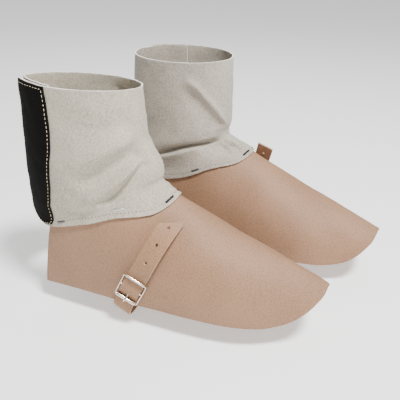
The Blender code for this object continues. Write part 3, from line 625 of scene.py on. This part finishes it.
def drape(name, side, points, thickness, offset, finishes, width=0.35):
    """Sheet through a grid of points in the foot frame, with a wall and softened cut edges.

    Finishes are those of the face, the inner side and the cut edge. The sheet's own
    map runs along and across it in metres.
    """
    if side < 0:
        points = points[:, ::-1]
    rows, columns = points.shape[:2]
    along = np.linalg.norm(np.diff(points, axis=0), axis=2).mean(axis=1)
    across = np.linalg.norm(np.diff(points, axis=1), axis=2).mean(axis=0)
    up = np.concatenate(((0.0,), np.cumsum(along))) * MM
    over = np.concatenate(((0.0,), np.cumsum(across))) * MM
    spots = place(side, points)
    work = bmesh.new()
    bmesh.ops.create_grid(work, x_segments=rows - 1, y_segments=columns - 1, size=0.5)
    chart = work.loops.layers.uv.new("flat")
    for vert in work.verts:
        i = round((vert.co.x + 0.5) * (rows - 1))
        j = round((vert.co.y + 0.5) * (columns - 1))
        vert.co = spots[i, j]
        for loop in vert.link_loops:
            loop[chart].uv = (over[j], up[i])
    piece = to_piece(name, work, finishes)
    wall = piece.modifiers.new("wall", "SOLIDIFY")
    wall.thickness = thickness * MM
    wall.offset = offset
    wall.material_offset = 1
    wall.material_offset_rim = 2
    edge = piece.modifiers.new("edge", "BEVEL")
    edge.width = width * MM
    edge.segments = 2
    edge.limit_method = "ANGLE"
    edge.angle_limit = math.radians(50)
    return piece


def settle(piece):
    """Makes the piece's modifiers part of its mesh."""
    bpy.context.view_layer.update()
    graph = bpy.context.evaluated_depsgraph_get()
    mesh = bpy.data.meshes.new_from_object(piece.evaluated_get(graph))
    piece.modifiers.clear()
    piece.data = mesh
    return piece


def ride_as(piece, slot_name, *nodes):
    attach(piece, "root")
    if nodes:
        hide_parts(*nodes)
    return piece


def cuff_bearings(level):
    """Bearings of the cuff's columns at a level, from its outer end to its inner end."""
    front = curve_value(TAPE_EDGES, 1, level)
    rear = curve_value(TAPE_EDGES, 2, level)
    under_tape = np.linspace(rear, front, CUFF_COLUMNS_UNDER_TAPE)
    round_it = np.linspace(front, rear - 360.0, CUFF_COLUMNS_ROUND)
    inside = under_tape - 360.0
    return np.concatenate(((rear + CUFF_START_PAST_TAPE,), under_tape, round_it[1:-1], inside))


def cuff(side, label, looks):
    levels = np.concatenate((np.linspace(0.0, 0.5, CUFF_ROWS * 3 // 5, endpoint=False),
                             np.linspace(0.5, 1.0, CUFF_ROWS * 2 // 5)))
    bearings = np.array([cuff_bearings(level) for level in levels])
    level_grid = np.repeat(levels[:, None], bearings.shape[1], axis=1)
    tuck = ease(ramp(bearings, TUCK_FROM_BEARING, TUCK_FROM_BEARING - TUCK_BREADTH))
    points, normals = cuff_surface(side, bearings, level_grid, -TUCK_DEPTH * tuck)
    near_hem = np.exp(-(level_grid / EDGE_WAVE_LEVELS) ** 2)
    near_rim = np.exp(-((1 - level_grid) / EDGE_WAVE_LEVELS) ** 2)
    near_edge = near_hem + RIM_WAVE_SHARE * near_rim
    rad = np.radians(bearings)
    many, few = EDGE_WAVES_ROUND
    wave = EDGE_WAVE * (1 + np.sin(rad * many + 2 * np.sin(rad * few)))
    points = points + normals * (near_edge * wave)[..., None]
    suede = looks[label + "_suede"]
    piece = drape(label + "_suede_cuff", side, points, CUFF_SUEDE, -1.0,
                  (suede, suede, looks["suede_edge"]), 0.45)
    return ride_as(piece, label + "_cuff", label + "_cuff")


def flap(side, label, looks):
    rear, front = FLAP_REAR_BEARING, FLAP_FRONT_BEARING
    bearings = np.concatenate((np.linspace(-rear, -front, FLAP_COLUMNS_BESIDE, endpoint=False),
                               np.linspace(-front, front, FLAP_COLUMNS_IN_FRONT, endpoint=False),
                               np.linspace(front, rear, FLAP_COLUMNS_BESIDE + 1)))
    falls = np.linspace(0.0, 1.0, FLAP_ROWS)
    points = np.array([[flap_point(side, bearing, fall) for bearing in bearings] for fall in falls])
    outward = np.zeros(points.shape)
    outward[..., 1] = np.sign(bearings)[None, :]
    outward[..., 2] = 0.6
    normals = grid_normals(points, outward)
    free = ease(ramp(falls, *FLAP_SWELLING_FALLS))[:, None]
    relief = unevenness(points, *FLAP_SWELLING, 3 + side) * free
    points = points + normals * relief[..., None]
    piece = drape(label + "_leather_flap", side, points, FLAP_LEATHER, -1.0,
                  (looks["leather"], looks["flesh"], looks["leather_edge"]), 0.4)
    return ride_as(piece, label + "_flap", label + "_flap")


def tape_grid(side, shares, levels, out, corner=0.0):
    """Points of a tape on the cuff, and their normals. Share 0 is its front edge."""
    share_grid, level_grid = np.meshgrid(shares, levels)
    bend = ramp(share_grid, TAPE_CORNER_SHARE, 1.0) ** TAPE_CORNER_POWER
    down = (levels[-1] - level_grid) / (levels[-1] - levels[0])
    level_grid = level_grid + corner * bend * down
    front = np.vectorize(lambda level: curve_value(TAPE_EDGES, 1, level))(level_grid)
    rear = np.vectorize(lambda level: curve_value(TAPE_EDGES, 2, level))(level_grid)
    bearings = front + (rear - front) * share_grid
    return cuff_surface(side, bearings, level_grid, out)


def tape(side, label, looks):
    shares = np.linspace(0.0, 1.0, TAPE_COLUMNS)
    levels = np.linspace(TAPE_LOW_LEVEL, TAPE_HIGH_LEVEL, TAPE_ROWS)
    points, normals = tape_grid(side, shares, levels, GAP, TAPE_CORNER_RISE)
    piece = drape(label + "_closure_tape", side, points[:, ::-1], TAPE, 1.0,
                  (looks["tape"], looks["tape"], looks["tape_edge"]), 0.35)
    ride_as(piece, label + "_tape", label + "_tape")
    face = points + normals * TAPE
    width = np.linalg.norm(face[TAPE_ROWS // 2, 0] - face[TAPE_ROWS // 2, -1])
    height = np.linalg.norm(np.diff(face[:, TAPE_COLUMNS // 2], axis=0), axis=1).sum()
    left, low = TAPE_SEAM_INSET / width, TAPE_SEAM_INSET / height
    right, high = 1 - left, 1 - low
    corners = ((left, high), (left, low), (right, low), (right, high), (left, high))
    counts = (TAPE_SEAM_MARKS_UP, TAPE_SEAM_MARKS_ACROSS) * 2
    marks = [corners[0]]
    for start, end, count in zip(corners, corners[1:], counts):
        for k in range(1, count + 1):
            marks.append(tuple(a + (b - a) * k / count for a, b in zip(start, end)))
    seam = [sample_grid(face, u, v) for u, v in marks]
    ways = [sample_grid(normals, u, v) for u, v in marks]
    thread = stitches(label + "_tape_stitches", side, seam, ways, TAPE_STITCH, TAPE_STITCH_GAP,
                      TAPE_THREAD_RADIUS, looks["thread"])
    ride_as(thread, label + "_tape")
    return piece


def sample_grid(grid, u, v):
    """Value of a grid at a share across and a share up."""
    y = v * (grid.shape[0] - 1)
    x = u * (grid.shape[1] - 1)
    i = min(int(y), grid.shape[0] - 2)
    j = min(int(x), grid.shape[1] - 2)
    top = grid[i, j] * (1 - (x - j)) + grid[i, j + 1] * (x - j)
    low = grid[i + 1, j] * (1 - (x - j)) + grid[i + 1, j + 1] * (x - j)
    return top * (1 - (y - i)) + low * (y - i)


def stitches(name, side, line, normals, length, gap, radius, finish, bury=0.35):
    """Row of stitches along a line on a face: each a bead of thread, sunk at its ends."""
    spots = place(side, np.array(line))
    tips = place(side, np.array(line) + np.array(normals))
    ways = tips - spots
    ways /= np.linalg.norm(ways, axis=1, keepdims=True)
    steps = np.linalg.norm(np.diff(spots, axis=0), axis=1)
    marks = np.concatenate(((0.0,), np.cumsum(steps)))
    pitch = (length + gap) * MM
    count = max(1, int(marks[-1] / pitch))

    def value_at(rows, where):
        return Vector([float(np.interp(where, marks, rows[:, axis])) for axis in range(3)])

    work = bmesh.new()
    for k in range(count):
        middle = (k + 0.5) * marks[-1] / count
        waves = math.sin(k * STITCH_WAVES[0]) * math.cos(k * STITCH_WAVES[1])
        reach = length * MM * (0.5 + STITCH_UNEVEN * waves)
        ends = [value_at(spots, where) for where in (middle - reach, middle + reach)]
        way = value_at(ways, middle).normalized()
        run = (ends[1] - ends[0]).normalized()
        across = way.cross(run).normalized()
        centre = (ends[0] + ends[1]) / 2 + way * radius * MM * (1 - 2 * bury)
        bead = bmesh.ops.create_uvsphere(work, u_segments=8, v_segments=6, radius=1.0)
        half = (ends[1] - ends[0]).length / 2
        for vert in bead["verts"]:
            x, y, z = vert.co.x, vert.co.y, vert.co.z
            fall = -way * radius * MM * STITCH_BOW * z * z
            vert.co = centre + run * z * half + across * x * radius * MM + way * y * radius * MM + fall
    bmesh.ops.recalc_face_normals(work, faces=work.faces)
    return to_piece(name, work, (finish,))


def hem_strip(side, bearings, level):
    """Three rows of points on the cuff's face about a level, and their normals."""
    rows = (level - PROBE_LEVELS, level, level + PROBE_LEVELS)
    grid_l = np.repeat(np.array(rows)[:, None], len(bearings), axis=1)
    return cuff_surface(side, np.array([bearings] * len(rows)), grid_l, 0.0)


def hem_sewing(side, label, looks):
    """Row of stitches that holds the cuff's hem to the flap."""
    seam_level = RIGHT_HEM_SEAM_LEVEL if side < 0 else LEFT_HEM_SEAM_LEVEL
    points, normals = hem_strip(side, np.linspace(*HEM_SEAM_BEARINGS, HEM_SEAM_MARKS), seam_level)
    thread = stitches(label + "_hem_stitches", side, points[1], normals[1], HEM_STITCH, HEM_STITCH_GAP,
                      HEM_THREAD_RADIUS, looks["suede_thread"], 0.5)
    return ride_as(thread, label + "_cuff")


def tube(name, side, points, radius, finish, closed=False, corners=4):
    """Bent round wire through points of the foot frame."""
    path = bpy.data.curves.new(name + "_path", "CURVE")
    path.dimensions = "3D"
    line = path.splines.new("POLY")
    line.points.add(len(points) - 1)
    for mark, spot in zip(line.points, place(side, np.array(points))):
        mark.co = (*spot, 1.0)
    line.use_cyclic_u = closed
    path.bevel_depth = radius * MM
    path.bevel_resolution = corners
    path.use_fill_caps = not closed
    guide = bpy.data.objects.new(name + "_path", path)
    bpy.context.scene.collection.objects.link(guide)
    bpy.context.view_layer.update()
    graph = bpy.context.evaluated_depsgraph_get()
    work = bmesh.new()
    work.from_mesh(bpy.data.meshes.new_from_object(guide.evaluated_get(graph)))
    bpy.data.objects.remove(guide, do_unlink=True)
    bmesh.ops.remove_doubles(work, verts=work.verts, dist=WELD * MM)
    bmesh.ops.recalc_face_normals(work, faces=work.faces)
    return to_piece(name, work, (finish,), sharp_from=55)


def staples(side, label, looks):
    """Staples through the hem, each a round wire with its shoulders bent down."""
    made = []
    for k, (bearing, level, finish) in enumerate(STAPLES):
        around = (bearing - STAPLE_PROBE_DEG, bearing, bearing + STAPLE_PROBE_DEG)
        points, normals = hem_strip(side, around, level)
        centre = points[1, 1]
        way = normals[1, 1]
        run = points[1, 2] - points[1, 0]
        run = run / np.linalg.norm(run)
        half = STAPLE_CROWN / 2
        line = [(x - half, z) for x, z in STAPLE_LEG]
        for turn in (0, 30, 60, 90):
            rad = math.radians(turn)
            line.append((-half + STAPLE_BEND * (1 - math.cos(rad)),
                         STAPLE_SHOULDER + STAPLE_BEND * math.sin(rad)))
        line += [(-x, z) for x, z in reversed(line)]
        wire = tube(label + "_staple_" + str(k + 1), side, [centre + run * x + way * z for x, z in line],
                    STAPLE_WIRE, looks["staple_" + finish])
        ride_as(wire, label + "_cuff")
        made.append(wire)
    return made


def strap_across(row):
    slope = math.radians(row[3])
    twist = math.radians(row[4])
    return np.array((
        math.cos(slope) * math.cos(twist),
        math.sin(twist),
        -math.sin(slope) * math.cos(twist),
    ))


def strap_rows(side):
    """The strap's line with the running length as its first column."""
    line = STRAP_LINE + (RIGHT_STRAP_END if side < 0 else LEFT_STRAP_END)
    marks = []
    length = 0.0
    for k, row in enumerate(line):
        if k:
            length += math.dist(row[:3], line[k - 1][:3])
        marks.append((length, *row))
    return marks


def strap_at(marks, length):
    return np.array([curve_value(marks, column, length) for column in range(1, 6)], dtype=float)


def strap(side, label, looks):
    marks = strap_rows(side)
    total = marks[-1][0]
    slant = RIGHT_STRAP_SLANT if side < 0 else LEFT_STRAP_SLANT
    rows = []
    for k in range(STRAP_ROWS + 1):
        length = total * k / STRAP_ROWS
        here = strap_at(marks, length)
        half = STRAP_WIDTH / 2
        left = total - length
        if left < STRAP_TIP_CORNER:
            past = STRAP_TIP_CORNER - left
            half -= STRAP_TIP_CORNER - math.sqrt(max(0.0, STRAP_TIP_CORNER ** 2 - past ** 2))
        run = strap_at(marks, length + 0.5)[:3] - strap_at(marks, length - 0.5)[:3]
        lean = run / np.linalg.norm(run) * slant * ramp(length, total - STRAP_SLANT_FROM, total)
        across = strap_across(here) * half + lean
        rows.append([here[:3] + across * share for share in np.linspace(-1, 1, STRAP_COLUMNS + 1)])
    piece = drape(label + "_leather_strap", side, np.array(rows), STRAP_LEATHER, 0.0,
                  (looks["strap"], looks["strap_flesh"], looks["strap_edge"]), 0.5)
    settle(piece)
    start = marks[STRAP_ROW_AT_ROLLER][0]
    for distance in STRAP_HOLES:
        here = strap_at(marks, start + distance)
        ahead = strap_at(marks, start + distance + 1.0)
        run = ahead[:3] - here[:3]
        way = np.cross(run, strap_across(here))
        way /= np.linalg.norm(way)
        way *= STRAP_HOLE_REACH
        cut_with(piece, rod("hole", side, here[:3] - way, here[:3] + way, STRAP_HOLE_RADIUS,
                            looks["strap_edge"], 20))
    line = [buckle_place(0.0, up, w) for up, w in PRONG_LINE][PRONG_SLOT_FROM:]
    slot_tube = tube("slot", side, line, PRONG_RADIUS + PRONG_SLOT_AIR, looks["strap_edge"])
    cut_with(piece, slot_tube)
    return ride_as(piece, label + "_strap", label + "_strap")


def cut_with(piece, cutter):
    step = piece.modifiers.new("hole", "BOOLEAN")
    step.operation = "DIFFERENCE"
    step.solver = "EXACT"
    step.object = cutter
    step.material_mode = "TRANSFER"
    settle(piece)
    bpy.data.objects.remove(cutter, do_unlink=True)


def rod(name, side, start, end, radius, finish, segments=28, soften=0.0):
    """Round bar between two points of the foot frame, its ends softened."""
    a, b = (Vector(spot) for spot in place(side, np.array((start, end))))
    work = bmesh.new()
    bmesh.ops.create_cone(work, cap_ends=True, segments=segments, radius1=radius * MM,
                          radius2=radius * MM, depth=(b - a).length)
    if soften:
        ends = [edge for edge in work.edges if abs(edge.verts[0].co.z - edge.verts[1].co.z) < 1e-6]
        bmesh.ops.bevel(work, geom=ends, offset=soften * MM, offset_type="OFFSET", affect="EDGES",
                        segments=3, profile=0.5, material=-1)
    turn = Vector((0, 0, 1)).rotation_difference((b - a).normalized())
    bmesh.ops.rotate(work, verts=work.verts, cent=(0, 0, 0), matrix=turn.to_matrix())
    bmesh.ops.translate(work, verts=work.verts, vec=(a + b) / 2)
    return to_piece(name, work, (finish,), sharp_from=40)


def buckle_place(across, up, w):
    """Buckle frame to foot frame: across to the toe, up along the strap, w out."""
    slope = math.radians(BUCKLE_SLOPE_DEG)
    f = BUCKLE_F + across * math.cos(slope) + up * math.sin(slope)
    h = BUCKLE_H - across * math.sin(slope) + up * math.cos(slope)
    return np.array((f, w, h))


def cross_bar(name, side, half, up, w, *how):
    """Round bar across the buckle."""
    return rod(name, side, buckle_place(-half, up, w), buckle_place(half, up, w), *how)


def frame_w(up):
    """How far out the bent side of the buckle stands at a place along it."""
    if up < 0:
        return BAR_CENTRE_W + (ROLLER_W - BAR_CENTRE_W) * (up / ROLLER_UP) ** 2
    return BAR_CENTRE_W + (TOP_W - BAR_CENTRE_W) * (up / TOP_UP) ** 2


def rounded(half, reach, corner, flip):
    """Corner marks of one end of the buckle, from one side to the other."""
    marks = []
    for turn in range(0, 91, 10):
        rad = math.radians(turn)
        marks.append((-half + corner - corner * math.cos(rad), reach - flip * corner * (1 - math.sin(rad))))
    return marks + [(-across, up) for across, up in reversed(marks)]


def buckle(side, label, looks):
    half = BUCKLE_HALF_WIDTH
    ups = np.linspace(ROLLER_UP + ROLLER_CORNER + 1.0, TOP_UP - TOP_CORNER - 1.0, 24)
    loop = [(-half, up) for up in ups]
    loop += rounded(half, TOP_UP, TOP_CORNER, 1.0)
    loop += [(half, up) for up in reversed(ups)]
    loop += rounded(half, ROLLER_UP, ROLLER_CORNER, -1.0)[::-1]
    line = [buckle_place(across, up, frame_w(up)) for across, up in loop]
    ring = tube(label + "_buckle_ring", side, line, AXLE_RADIUS, looks["nickel"], closed=True, corners=5)
    ride_as(ring, label + "_buckle_frame", label + "_buckle_frame")
    bar = cross_bar(label + "_buckle_bar", side, half, 0.0, BAR_CENTRE_W, BAR_RADIUS, looks["nickel"], 24)
    ride_as(bar, label + "_buckle_frame")
    top = cross_bar(label + "_buckle_top", side, half - TOP_INSET, TOP_UP, TOP_W, TOP_RADIUS,
                    looks["nickel"], 32, 0.7)
    ride_as(top, label + "_buckle_frame")
    sleeve = cross_bar(label + "_buckle_roller", side, half - ROLLER_INSET, ROLLER_UP, ROLLER_W,
                       ROLLER_RADIUS, looks["nickel"], 32, 0.35)
    bore = cross_bar("bore", side, half + BORE_PAST_ENDS, ROLLER_UP, ROLLER_W, AXLE_RADIUS + GAP,
                     looks["nickel"], 28)
    cut_with(sleeve, bore)
    ride_as(sleeve, label + "_roller", label + "_roller")
    line = smooth_line([(up, w) for up, w in PRONG_LINE], 4)
    pin = tube(label + "_buckle_prong", side, [buckle_place(0.0, up, w) for up, w in line], PRONG_RADIUS,
               looks["nickel"], corners=4)
    ride_as(pin, label + "_prong", label + "_prong")


def chape(side, label, looks):
    line = smooth_line(CHAPE_LINE, 4)
    acrosses = np.linspace(-0.5, 0.5, CHAPE_COLUMNS) * CHAPE_WIDTH
    rows = [[buckle_place(across, up, w) for across in acrosses] for up, w in line]
    piece = drape(label + "_buckle_chape", side, np.array(rows), CHAPE_LEATHER, 0.0,
                  (looks["strap"], looks["strap_flesh"], looks["strap_edge"]), 0.2)
    settle(piece)
    cut_with(piece, slot_block(side, looks["strap_edge"]))
    return ride_as(piece, label + "_chape", label + "_chape")


def slot_block(side, finish):
    """Box that cuts the slot for the prong, laid in the buckle's directions."""
    low, high = CHAPE_SLOT_ROWS
    work = bmesh.new()
    bmesh.ops.create_cube(work, size=1.0)
    for vert in work.verts:
        across, up, out = vert.co.x * CHAPE_SLOT, vert.co.y * (high - low), vert.co.z * CHAPE_SLOT_DEPTH
        vert.co = place(side, buckle_place(across, (low + high) / 2 + up, BAR_CENTRE_W + out))
    work.normal_update()
    bmesh.ops.recalc_face_normals(work, faces=work.faces)
    return to_piece("slot", work, (finish,), smooth=False)


def hidden_tapes(side, label, looks):
    """Hook tape inside the cuff's outer end, and loop tape on its inner end."""
    shares = np.linspace(*HIDDEN_TAPE_SHARES, HIDDEN_TAPE_COLUMNS)
    levels = np.linspace(*HIDDEN_TAPE_LEVELS, HIDDEN_TAPE_ROWS)
    depth = CUFF_SUEDE + GAP + HIDDEN_TAPE
    for name in ("hook_tape", "loop_tape"):
        points = tape_grid(side, shares, levels, -depth)[0]
        piece = drape(label + "_hidden_" + name, side, points[:, ::-1], HIDDEN_TAPE, 1.0,
                      (looks["tape"], looks["tape"], looks["tape_edge"]), 0.2)
        ride_as(piece, label + "_" + name, label + "_" + name)
        depth += GAP + HIDDEN_TAPE


def combine(operation, turned=False):
    """Operator of two shader values, or of a value and a number."""
    def made(value, other):
        pair = (other, value) if turned else (value, other)
        return value.paint.node("ShaderNodeMath", {"operation": operation}, dict(enumerate(pair)))
    return made


class Value:
    """A shader value that takes part in sums and products as a number does."""

    def __init__(self, paint, socket):
        self.paint = paint
        self.socket = socket

    __add__ = combine("ADD")
    __radd__ = combine("ADD", True)
    __sub__ = combine("SUBTRACT")
    __rsub__ = combine("SUBTRACT", True)
    __mul__ = combine("MULTIPLY")
    __rmul__ = combine("MULTIPLY", True)

    def sine(self):
        return self.paint.node("ShaderNodeMath", {"operation": "SINE"}, {0: self})


class Paint:
    """A finish under construction: a material and its shader."""

    def __init__(self, name, **constants):
        self.material = bpy.data.materials.new(name)
        self.material.use_nodes = True
        self.tree = self.material.node_tree
        self.shader = self.tree.nodes["Principled BSDF"]
        for socket, value in constants.items():
            self.shader.inputs[socket.replace("_", " ")].default_value = value

    def node(self, kind, settings, sockets, output=0):
        made = self.tree.nodes.new(kind)
        for name, value in settings.items():
            if name == "stops":
                ramp_of = made.color_ramp
                while len(ramp_of.elements) < len(value):
                    ramp_of.elements.new(0.5)
                for element, (position, colour) in zip(ramp_of.elements, value):
                    element.position = position
                    element.color = colour
            else:
                setattr(made, name, value)
        for name, value in sockets.items():
            self.feed(made.inputs[name], value)
        return Value(self, made.outputs[output])

    def feed(self, socket, value):
        if isinstance(value, Value):
            self.tree.links.new(value.socket, socket)
        else:
            socket.default_value = value

    def spot(self):
        return self.node("ShaderNodeTexCoord", {}, {}, "Object")

    def chart(self):
        """The two coordinates of a sheet's own map, in metres."""
        flat = self.node("ShaderNodeUVMap", {"uv_map": "flat"}, {})
        along = self.node("ShaderNodeSeparateXYZ", {}, {0: flat}, "X")
        up = self.node("ShaderNodeSeparateXYZ", {}, {0: flat}, "Y")
        return along, up

    def cloud(self, size, detail=3.0, roughness=0.55):
        """Soft noise whose patches are about a size in millimetres."""
        return self.node("ShaderNodeTexNoise", {}, {
            "Vector": self.spot(), "Scale": 1 / (size * MM), "Detail": detail, "Roughness": roughness})

    def pebbles(self, size):
        return self.node("ShaderNodeTexVoronoi", {"feature": "F1"}, {
            "Vector": self.spot(), "Scale": 1 / (size * MM)}, "Distance")

    def tones(self, value, *stops):
        return self.node("ShaderNodeValToRGB", {"stops": [(at, (*colour, 1.0)) for at, colour in stops]},
                         {0: value})

    def bump(self, height, depth):
        """Relief of a height from 0 to 1, its full depth in millimetres."""
        return self.node("ShaderNodeBump", {}, {
            "Strength": 1.0, "Distance": depth * MM, "Height": height}, "Normal")

    def finish(self, **links):
        for socket, value in links.items():
            self.feed(self.shader.inputs[socket.replace("_", " ")], value)
        return self.material


def scaled(colour, share):
    return tuple(channel * share for channel in colour)


# Paler and deeper patches of smooth leather, as shares of its red, green and blue
PALE_LEATHER = (1.13, 1.12, 1.11)
DEEP_LEATHER = (0.86, 0.84, 0.82)


def suede_finish(name, colour, nap=0.55):
    paint = Paint(name, Sheen_Weight=0.12, Sheen_Roughness=0.6, Specular_IOR_Level=0.1)
    patches = paint.cloud(40.0, 1.0)
    clumps = paint.cloud(2.2, 2.0, 0.6)
    fibres = paint.cloud(1.0, 3.0, 0.7)
    tone = patches * 0.14 + clumps * 0.30 + fibres * 0.56
    base = paint.tones(tone, (0.41, scaled(colour, 0.72)), (0.5, colour), (0.59, scaled(colour, 1.22)))
    relief = fibres * 0.5 + clumps * 0.5
    return paint.finish(Base_Color=base, Roughness=0.9 + fibres * 0.1, Normal=paint.bump(relief, nap))


def smooth_leather(name, colour, grain=0.07):
    paint = Paint(name, Specular_IOR_Level=0.32)
    patches = paint.cloud(60.0, 2.0)
    specks = paint.cloud(1.6, 3.0, 0.65)
    pores = paint.pebbles(0.85)
    pale = tuple(channel * share for channel, share in zip(colour, PALE_LEATHER))
    deep = tuple(channel * share for channel, share in zip(colour, DEEP_LEATHER))
    tone = patches * 0.25 + specks * 0.75
    base = paint.tones(tone, (0.42, deep), (0.5, colour), (0.58, pale))
    wrinkles = paint.cloud(2.6, 5.0, 0.6)
    relief = pores * 0.6 + wrinkles * 0.4
    return paint.finish(Base_Color=base, Roughness=0.50 + specks * 0.16, Normal=paint.bump(relief, grain))


def fibrous(name, colour, depth=0.25):
    paint = Paint(name, Specular_IOR_Level=0.15)
    strands = paint.cloud(0.55, 5.0, 0.75)
    patches = paint.cloud(5.0, 3.0)
    tone = strands * 0.6 + patches * 0.4
    base = paint.tones(tone, (0.32, scaled(colour, 0.66)), (0.5, colour), (0.68, scaled(colour, 1.22)))
    return paint.finish(Base_Color=base, Roughness=0.93, Normal=paint.bump(strands, depth))


# Pitch of the tape's threads across and along it, in metres
WARP = 0.0011
WEFT = 0.0008


def woven_tape(name, colour):
    paint = Paint(name, Specular_IOR_Level=0.06)
    along, up = paint.chart()
    ribs = (along * (2 * math.pi / WARP)).sine() * (up * (2 * math.pi / WEFT)).sine()
    lint = paint.cloud(1.3, 4.0, 0.7)
    worn = paint.cloud(14.0, 3.0)
    tone = lint * 0.5 + worn * 0.5
    base = paint.tones(tone, (0.40, scaled(colour, 0.8)), (0.58, colour), (0.72, scaled(colour, 2.6)))
    relief = ribs * 0.25 + 0.5 + lint * 0.3
    return paint.finish(Base_Color=base, Roughness=0.82, Normal=paint.bump(relief, 0.16))


def spun_thread(name, colour):
    paint = Paint(name, Specular_IOR_Level=0.2)
    strands = paint.cloud(0.45, 3.0)
    base = paint.tones(strands, (0.35, scaled(colour, 0.66)), (0.62, scaled(colour, 1.1)))
    return paint.finish(Base_Color=base, Roughness=0.85, Normal=paint.bump(strands, 0.12))


def plated(name, colour, roughness, metallic=1.0):
    paint = Paint(name, Metallic=metallic)
    smears = paint.cloud(4.0, 3.0)
    scratches = paint.cloud(0.5, 2.0)
    base = paint.tones(smears, (0.3, scaled(colour, 0.86)), (0.7, colour))
    rough = roughness + smears * 0.10 + scratches * 0.06
    return paint.finish(Base_Color=base, Roughness=rough, Normal=paint.bump(smears, 0.03))


def make_looks():
    return {
        "right_suede": suede_finish("grey suede split", (0.455, 0.408, 0.322)),
        # The left cuff's suede is the right's grey suede darkened: painted shade, as this far cuff lies in
        # shade.
        "left_suede": suede_finish("grey suede split with painted shade", (0.40, 0.358, 0.298)),
        # Cut suede edge: paler than the face as raw suede is, and brightened further as a painted highlight
        # along the cut edges.
        "suede_edge": fibrous("cut suede edge with painted highlight", (0.88, 0.84, 0.76), 0.22),
        # Hem thread drawn near black: painted shade of the sunk stitches and their holes, in place of the
        # pale thread's own colour.
        "suede_thread": spun_thread("hem thread darkened as painted hole shade", (0.13, 0.115, 0.09)),
        "leather": smooth_leather("tan smooth leather", (0.300, 0.170, 0.099)),
        "flesh": fibrous("flesh side of the tan leather", (0.50, 0.355, 0.25)),
        "leather_edge": fibrous("cut edge of the tan leather", (0.46, 0.29, 0.185), 0.15),
        "strap": smooth_leather("strap leather", (0.315, 0.176, 0.097), 0.08),
        "strap_flesh": fibrous("flesh side of the strap", (0.40, 0.26, 0.178)),
        "strap_edge": fibrous("cut edge of the strap", (0.62, 0.43, 0.29), 0.12),
        "tape": woven_tape("black closure tape", (0.0045, 0.0041, 0.0037)),
        "tape_edge": fibrous("selvedge of the tape", (0.007, 0.0063, 0.0057), 0.1),
        "thread": spun_thread("cream sewing thread", (0.60, 0.50, 0.36)),
        "nickel": plated("nickel plate", (0.80, 0.69, 0.585), 0.14),
        "staple_grey": plated("dull staple wire", (0.17, 0.165, 0.155), 0.42),
        "staple_light": plated("bright staple wire", (0.72, 0.70, 0.66), 0.30),
        "staple_dark": plated("blackened staple wire", (0.018, 0.017, 0.016), 0.45, 0.6),
    }


# Camera: place, aim, roll, and where its axis meets the picture
PICTURE = 400.0
FOCAL_PIXELS = 500.0
SENSOR = 36.0
CAMERA_AT = (-0.5249, -0.2387, 0.1762)
CAMERA_AIM = (0.8188, 0.3053, -0.4863)
CAMERA_ROLL_DEG = 1.4
AXIS_X = 193.1
AXIS_Y = 228.9


# Light. Lamps: name, place, breadth, power
FLOOR_HALF = 6.0
FLOOR_DROP = 0.0005
FLOOR_WHITE = (0.93, 0.93, 0.93, 1.0)
FLOOR_GLOW = 0.6
SKY_STRENGTH = 0.38
LIT_PLACE = (0.0, -0.05, -0.08)
LAMPS = (
    ("key light", (-0.42, -0.72, 1.52), 0.38, 68.0),
    ("fill light", (-1.35, -0.35, 0.55), 1.1, 2.0),
    ("back light", (1.1, 0.5, 1.2), 1.0, 5.0),
)


def camera():
    eye = bpy.data.objects.new("camera", bpy.data.cameras.new("camera"))
    eye.data.sensor_width = SENSOR
    eye.data.lens = SENSOR * FOCAL_PIXELS / PICTURE
    eye.data.shift_x = (PICTURE / 2 - AXIS_X) / PICTURE
    eye.data.shift_y = (AXIS_Y - PICTURE / 2) / PICTURE
    eye.data.clip_start = 0.01
    eye.location = CAMERA_AT
    turn = Vector(CAMERA_AIM).to_track_quat("-Z", "Y").to_matrix()
    turn = turn @ Matrix.Rotation(math.radians(CAMERA_ROLL_DEG), 3, "Z")
    eye.rotation_euler = turn.to_euler()
    bpy.context.scene.collection.objects.link(eye)
    bpy.context.scene.camera = eye


def lamp(name, at, aim, size, power):
    light = bpy.data.objects.new(name, bpy.data.lights.new(name, "AREA"))
    light.data.shape = "DISK"
    light.data.size = size
    light.data.energy = power
    light.location = at
    light.rotation_euler = (Vector(aim) - Vector(at)).to_track_quat("-Z", "Y").to_euler()
    bpy.context.scene.collection.objects.link(light)


def studio():
    work = bmesh.new()
    bmesh.ops.create_grid(work, x_segments=1, y_segments=1, size=FLOOR_HALF)
    bmesh.ops.translate(work, verts=work.verts, vec=(0.0, 0.0, -ORIGIN_ABOVE_FLOOR * MM - FLOOR_DROP))
    paint = Paint("pale floor", Roughness=0.9, Specular_IOR_Level=0.1, Emission_Strength=FLOOR_GLOW,
                  Base_Color=FLOOR_WHITE, Emission_Color=FLOOR_WHITE)
    floor = to_piece("floor", work, (paint.material,), smooth=False)
    world = bpy.data.worlds.new("studio")
    world.use_nodes = True
    sky = world.node_tree.nodes["Background"].inputs
    sky["Color"].default_value = (1.0, 1.0, 1.0, 1.0)
    sky["Strength"].default_value = SKY_STRENGTH
    bpy.context.scene.world = world
    for name, at, size, power in LAMPS:
        lamp(name, at, LIT_PLACE, size, power)


def build_spat(side, label, looks):
    suede = cuff(side, label, looks)
    leather = flap(side, label, looks)
    band = tape(side, label, looks)
    hidden_tapes(side, label, looks)
    sewing = hem_sewing(side, label, looks)
    pins = staples(side, label, looks)
    belt = strap(side, label, looks)
    chape(side, label, looks)
    buckle(side, label, looks)


camera()
studio()
looks = make_looks()
for side, label in FEET:
    build_spat(side, label, looks)
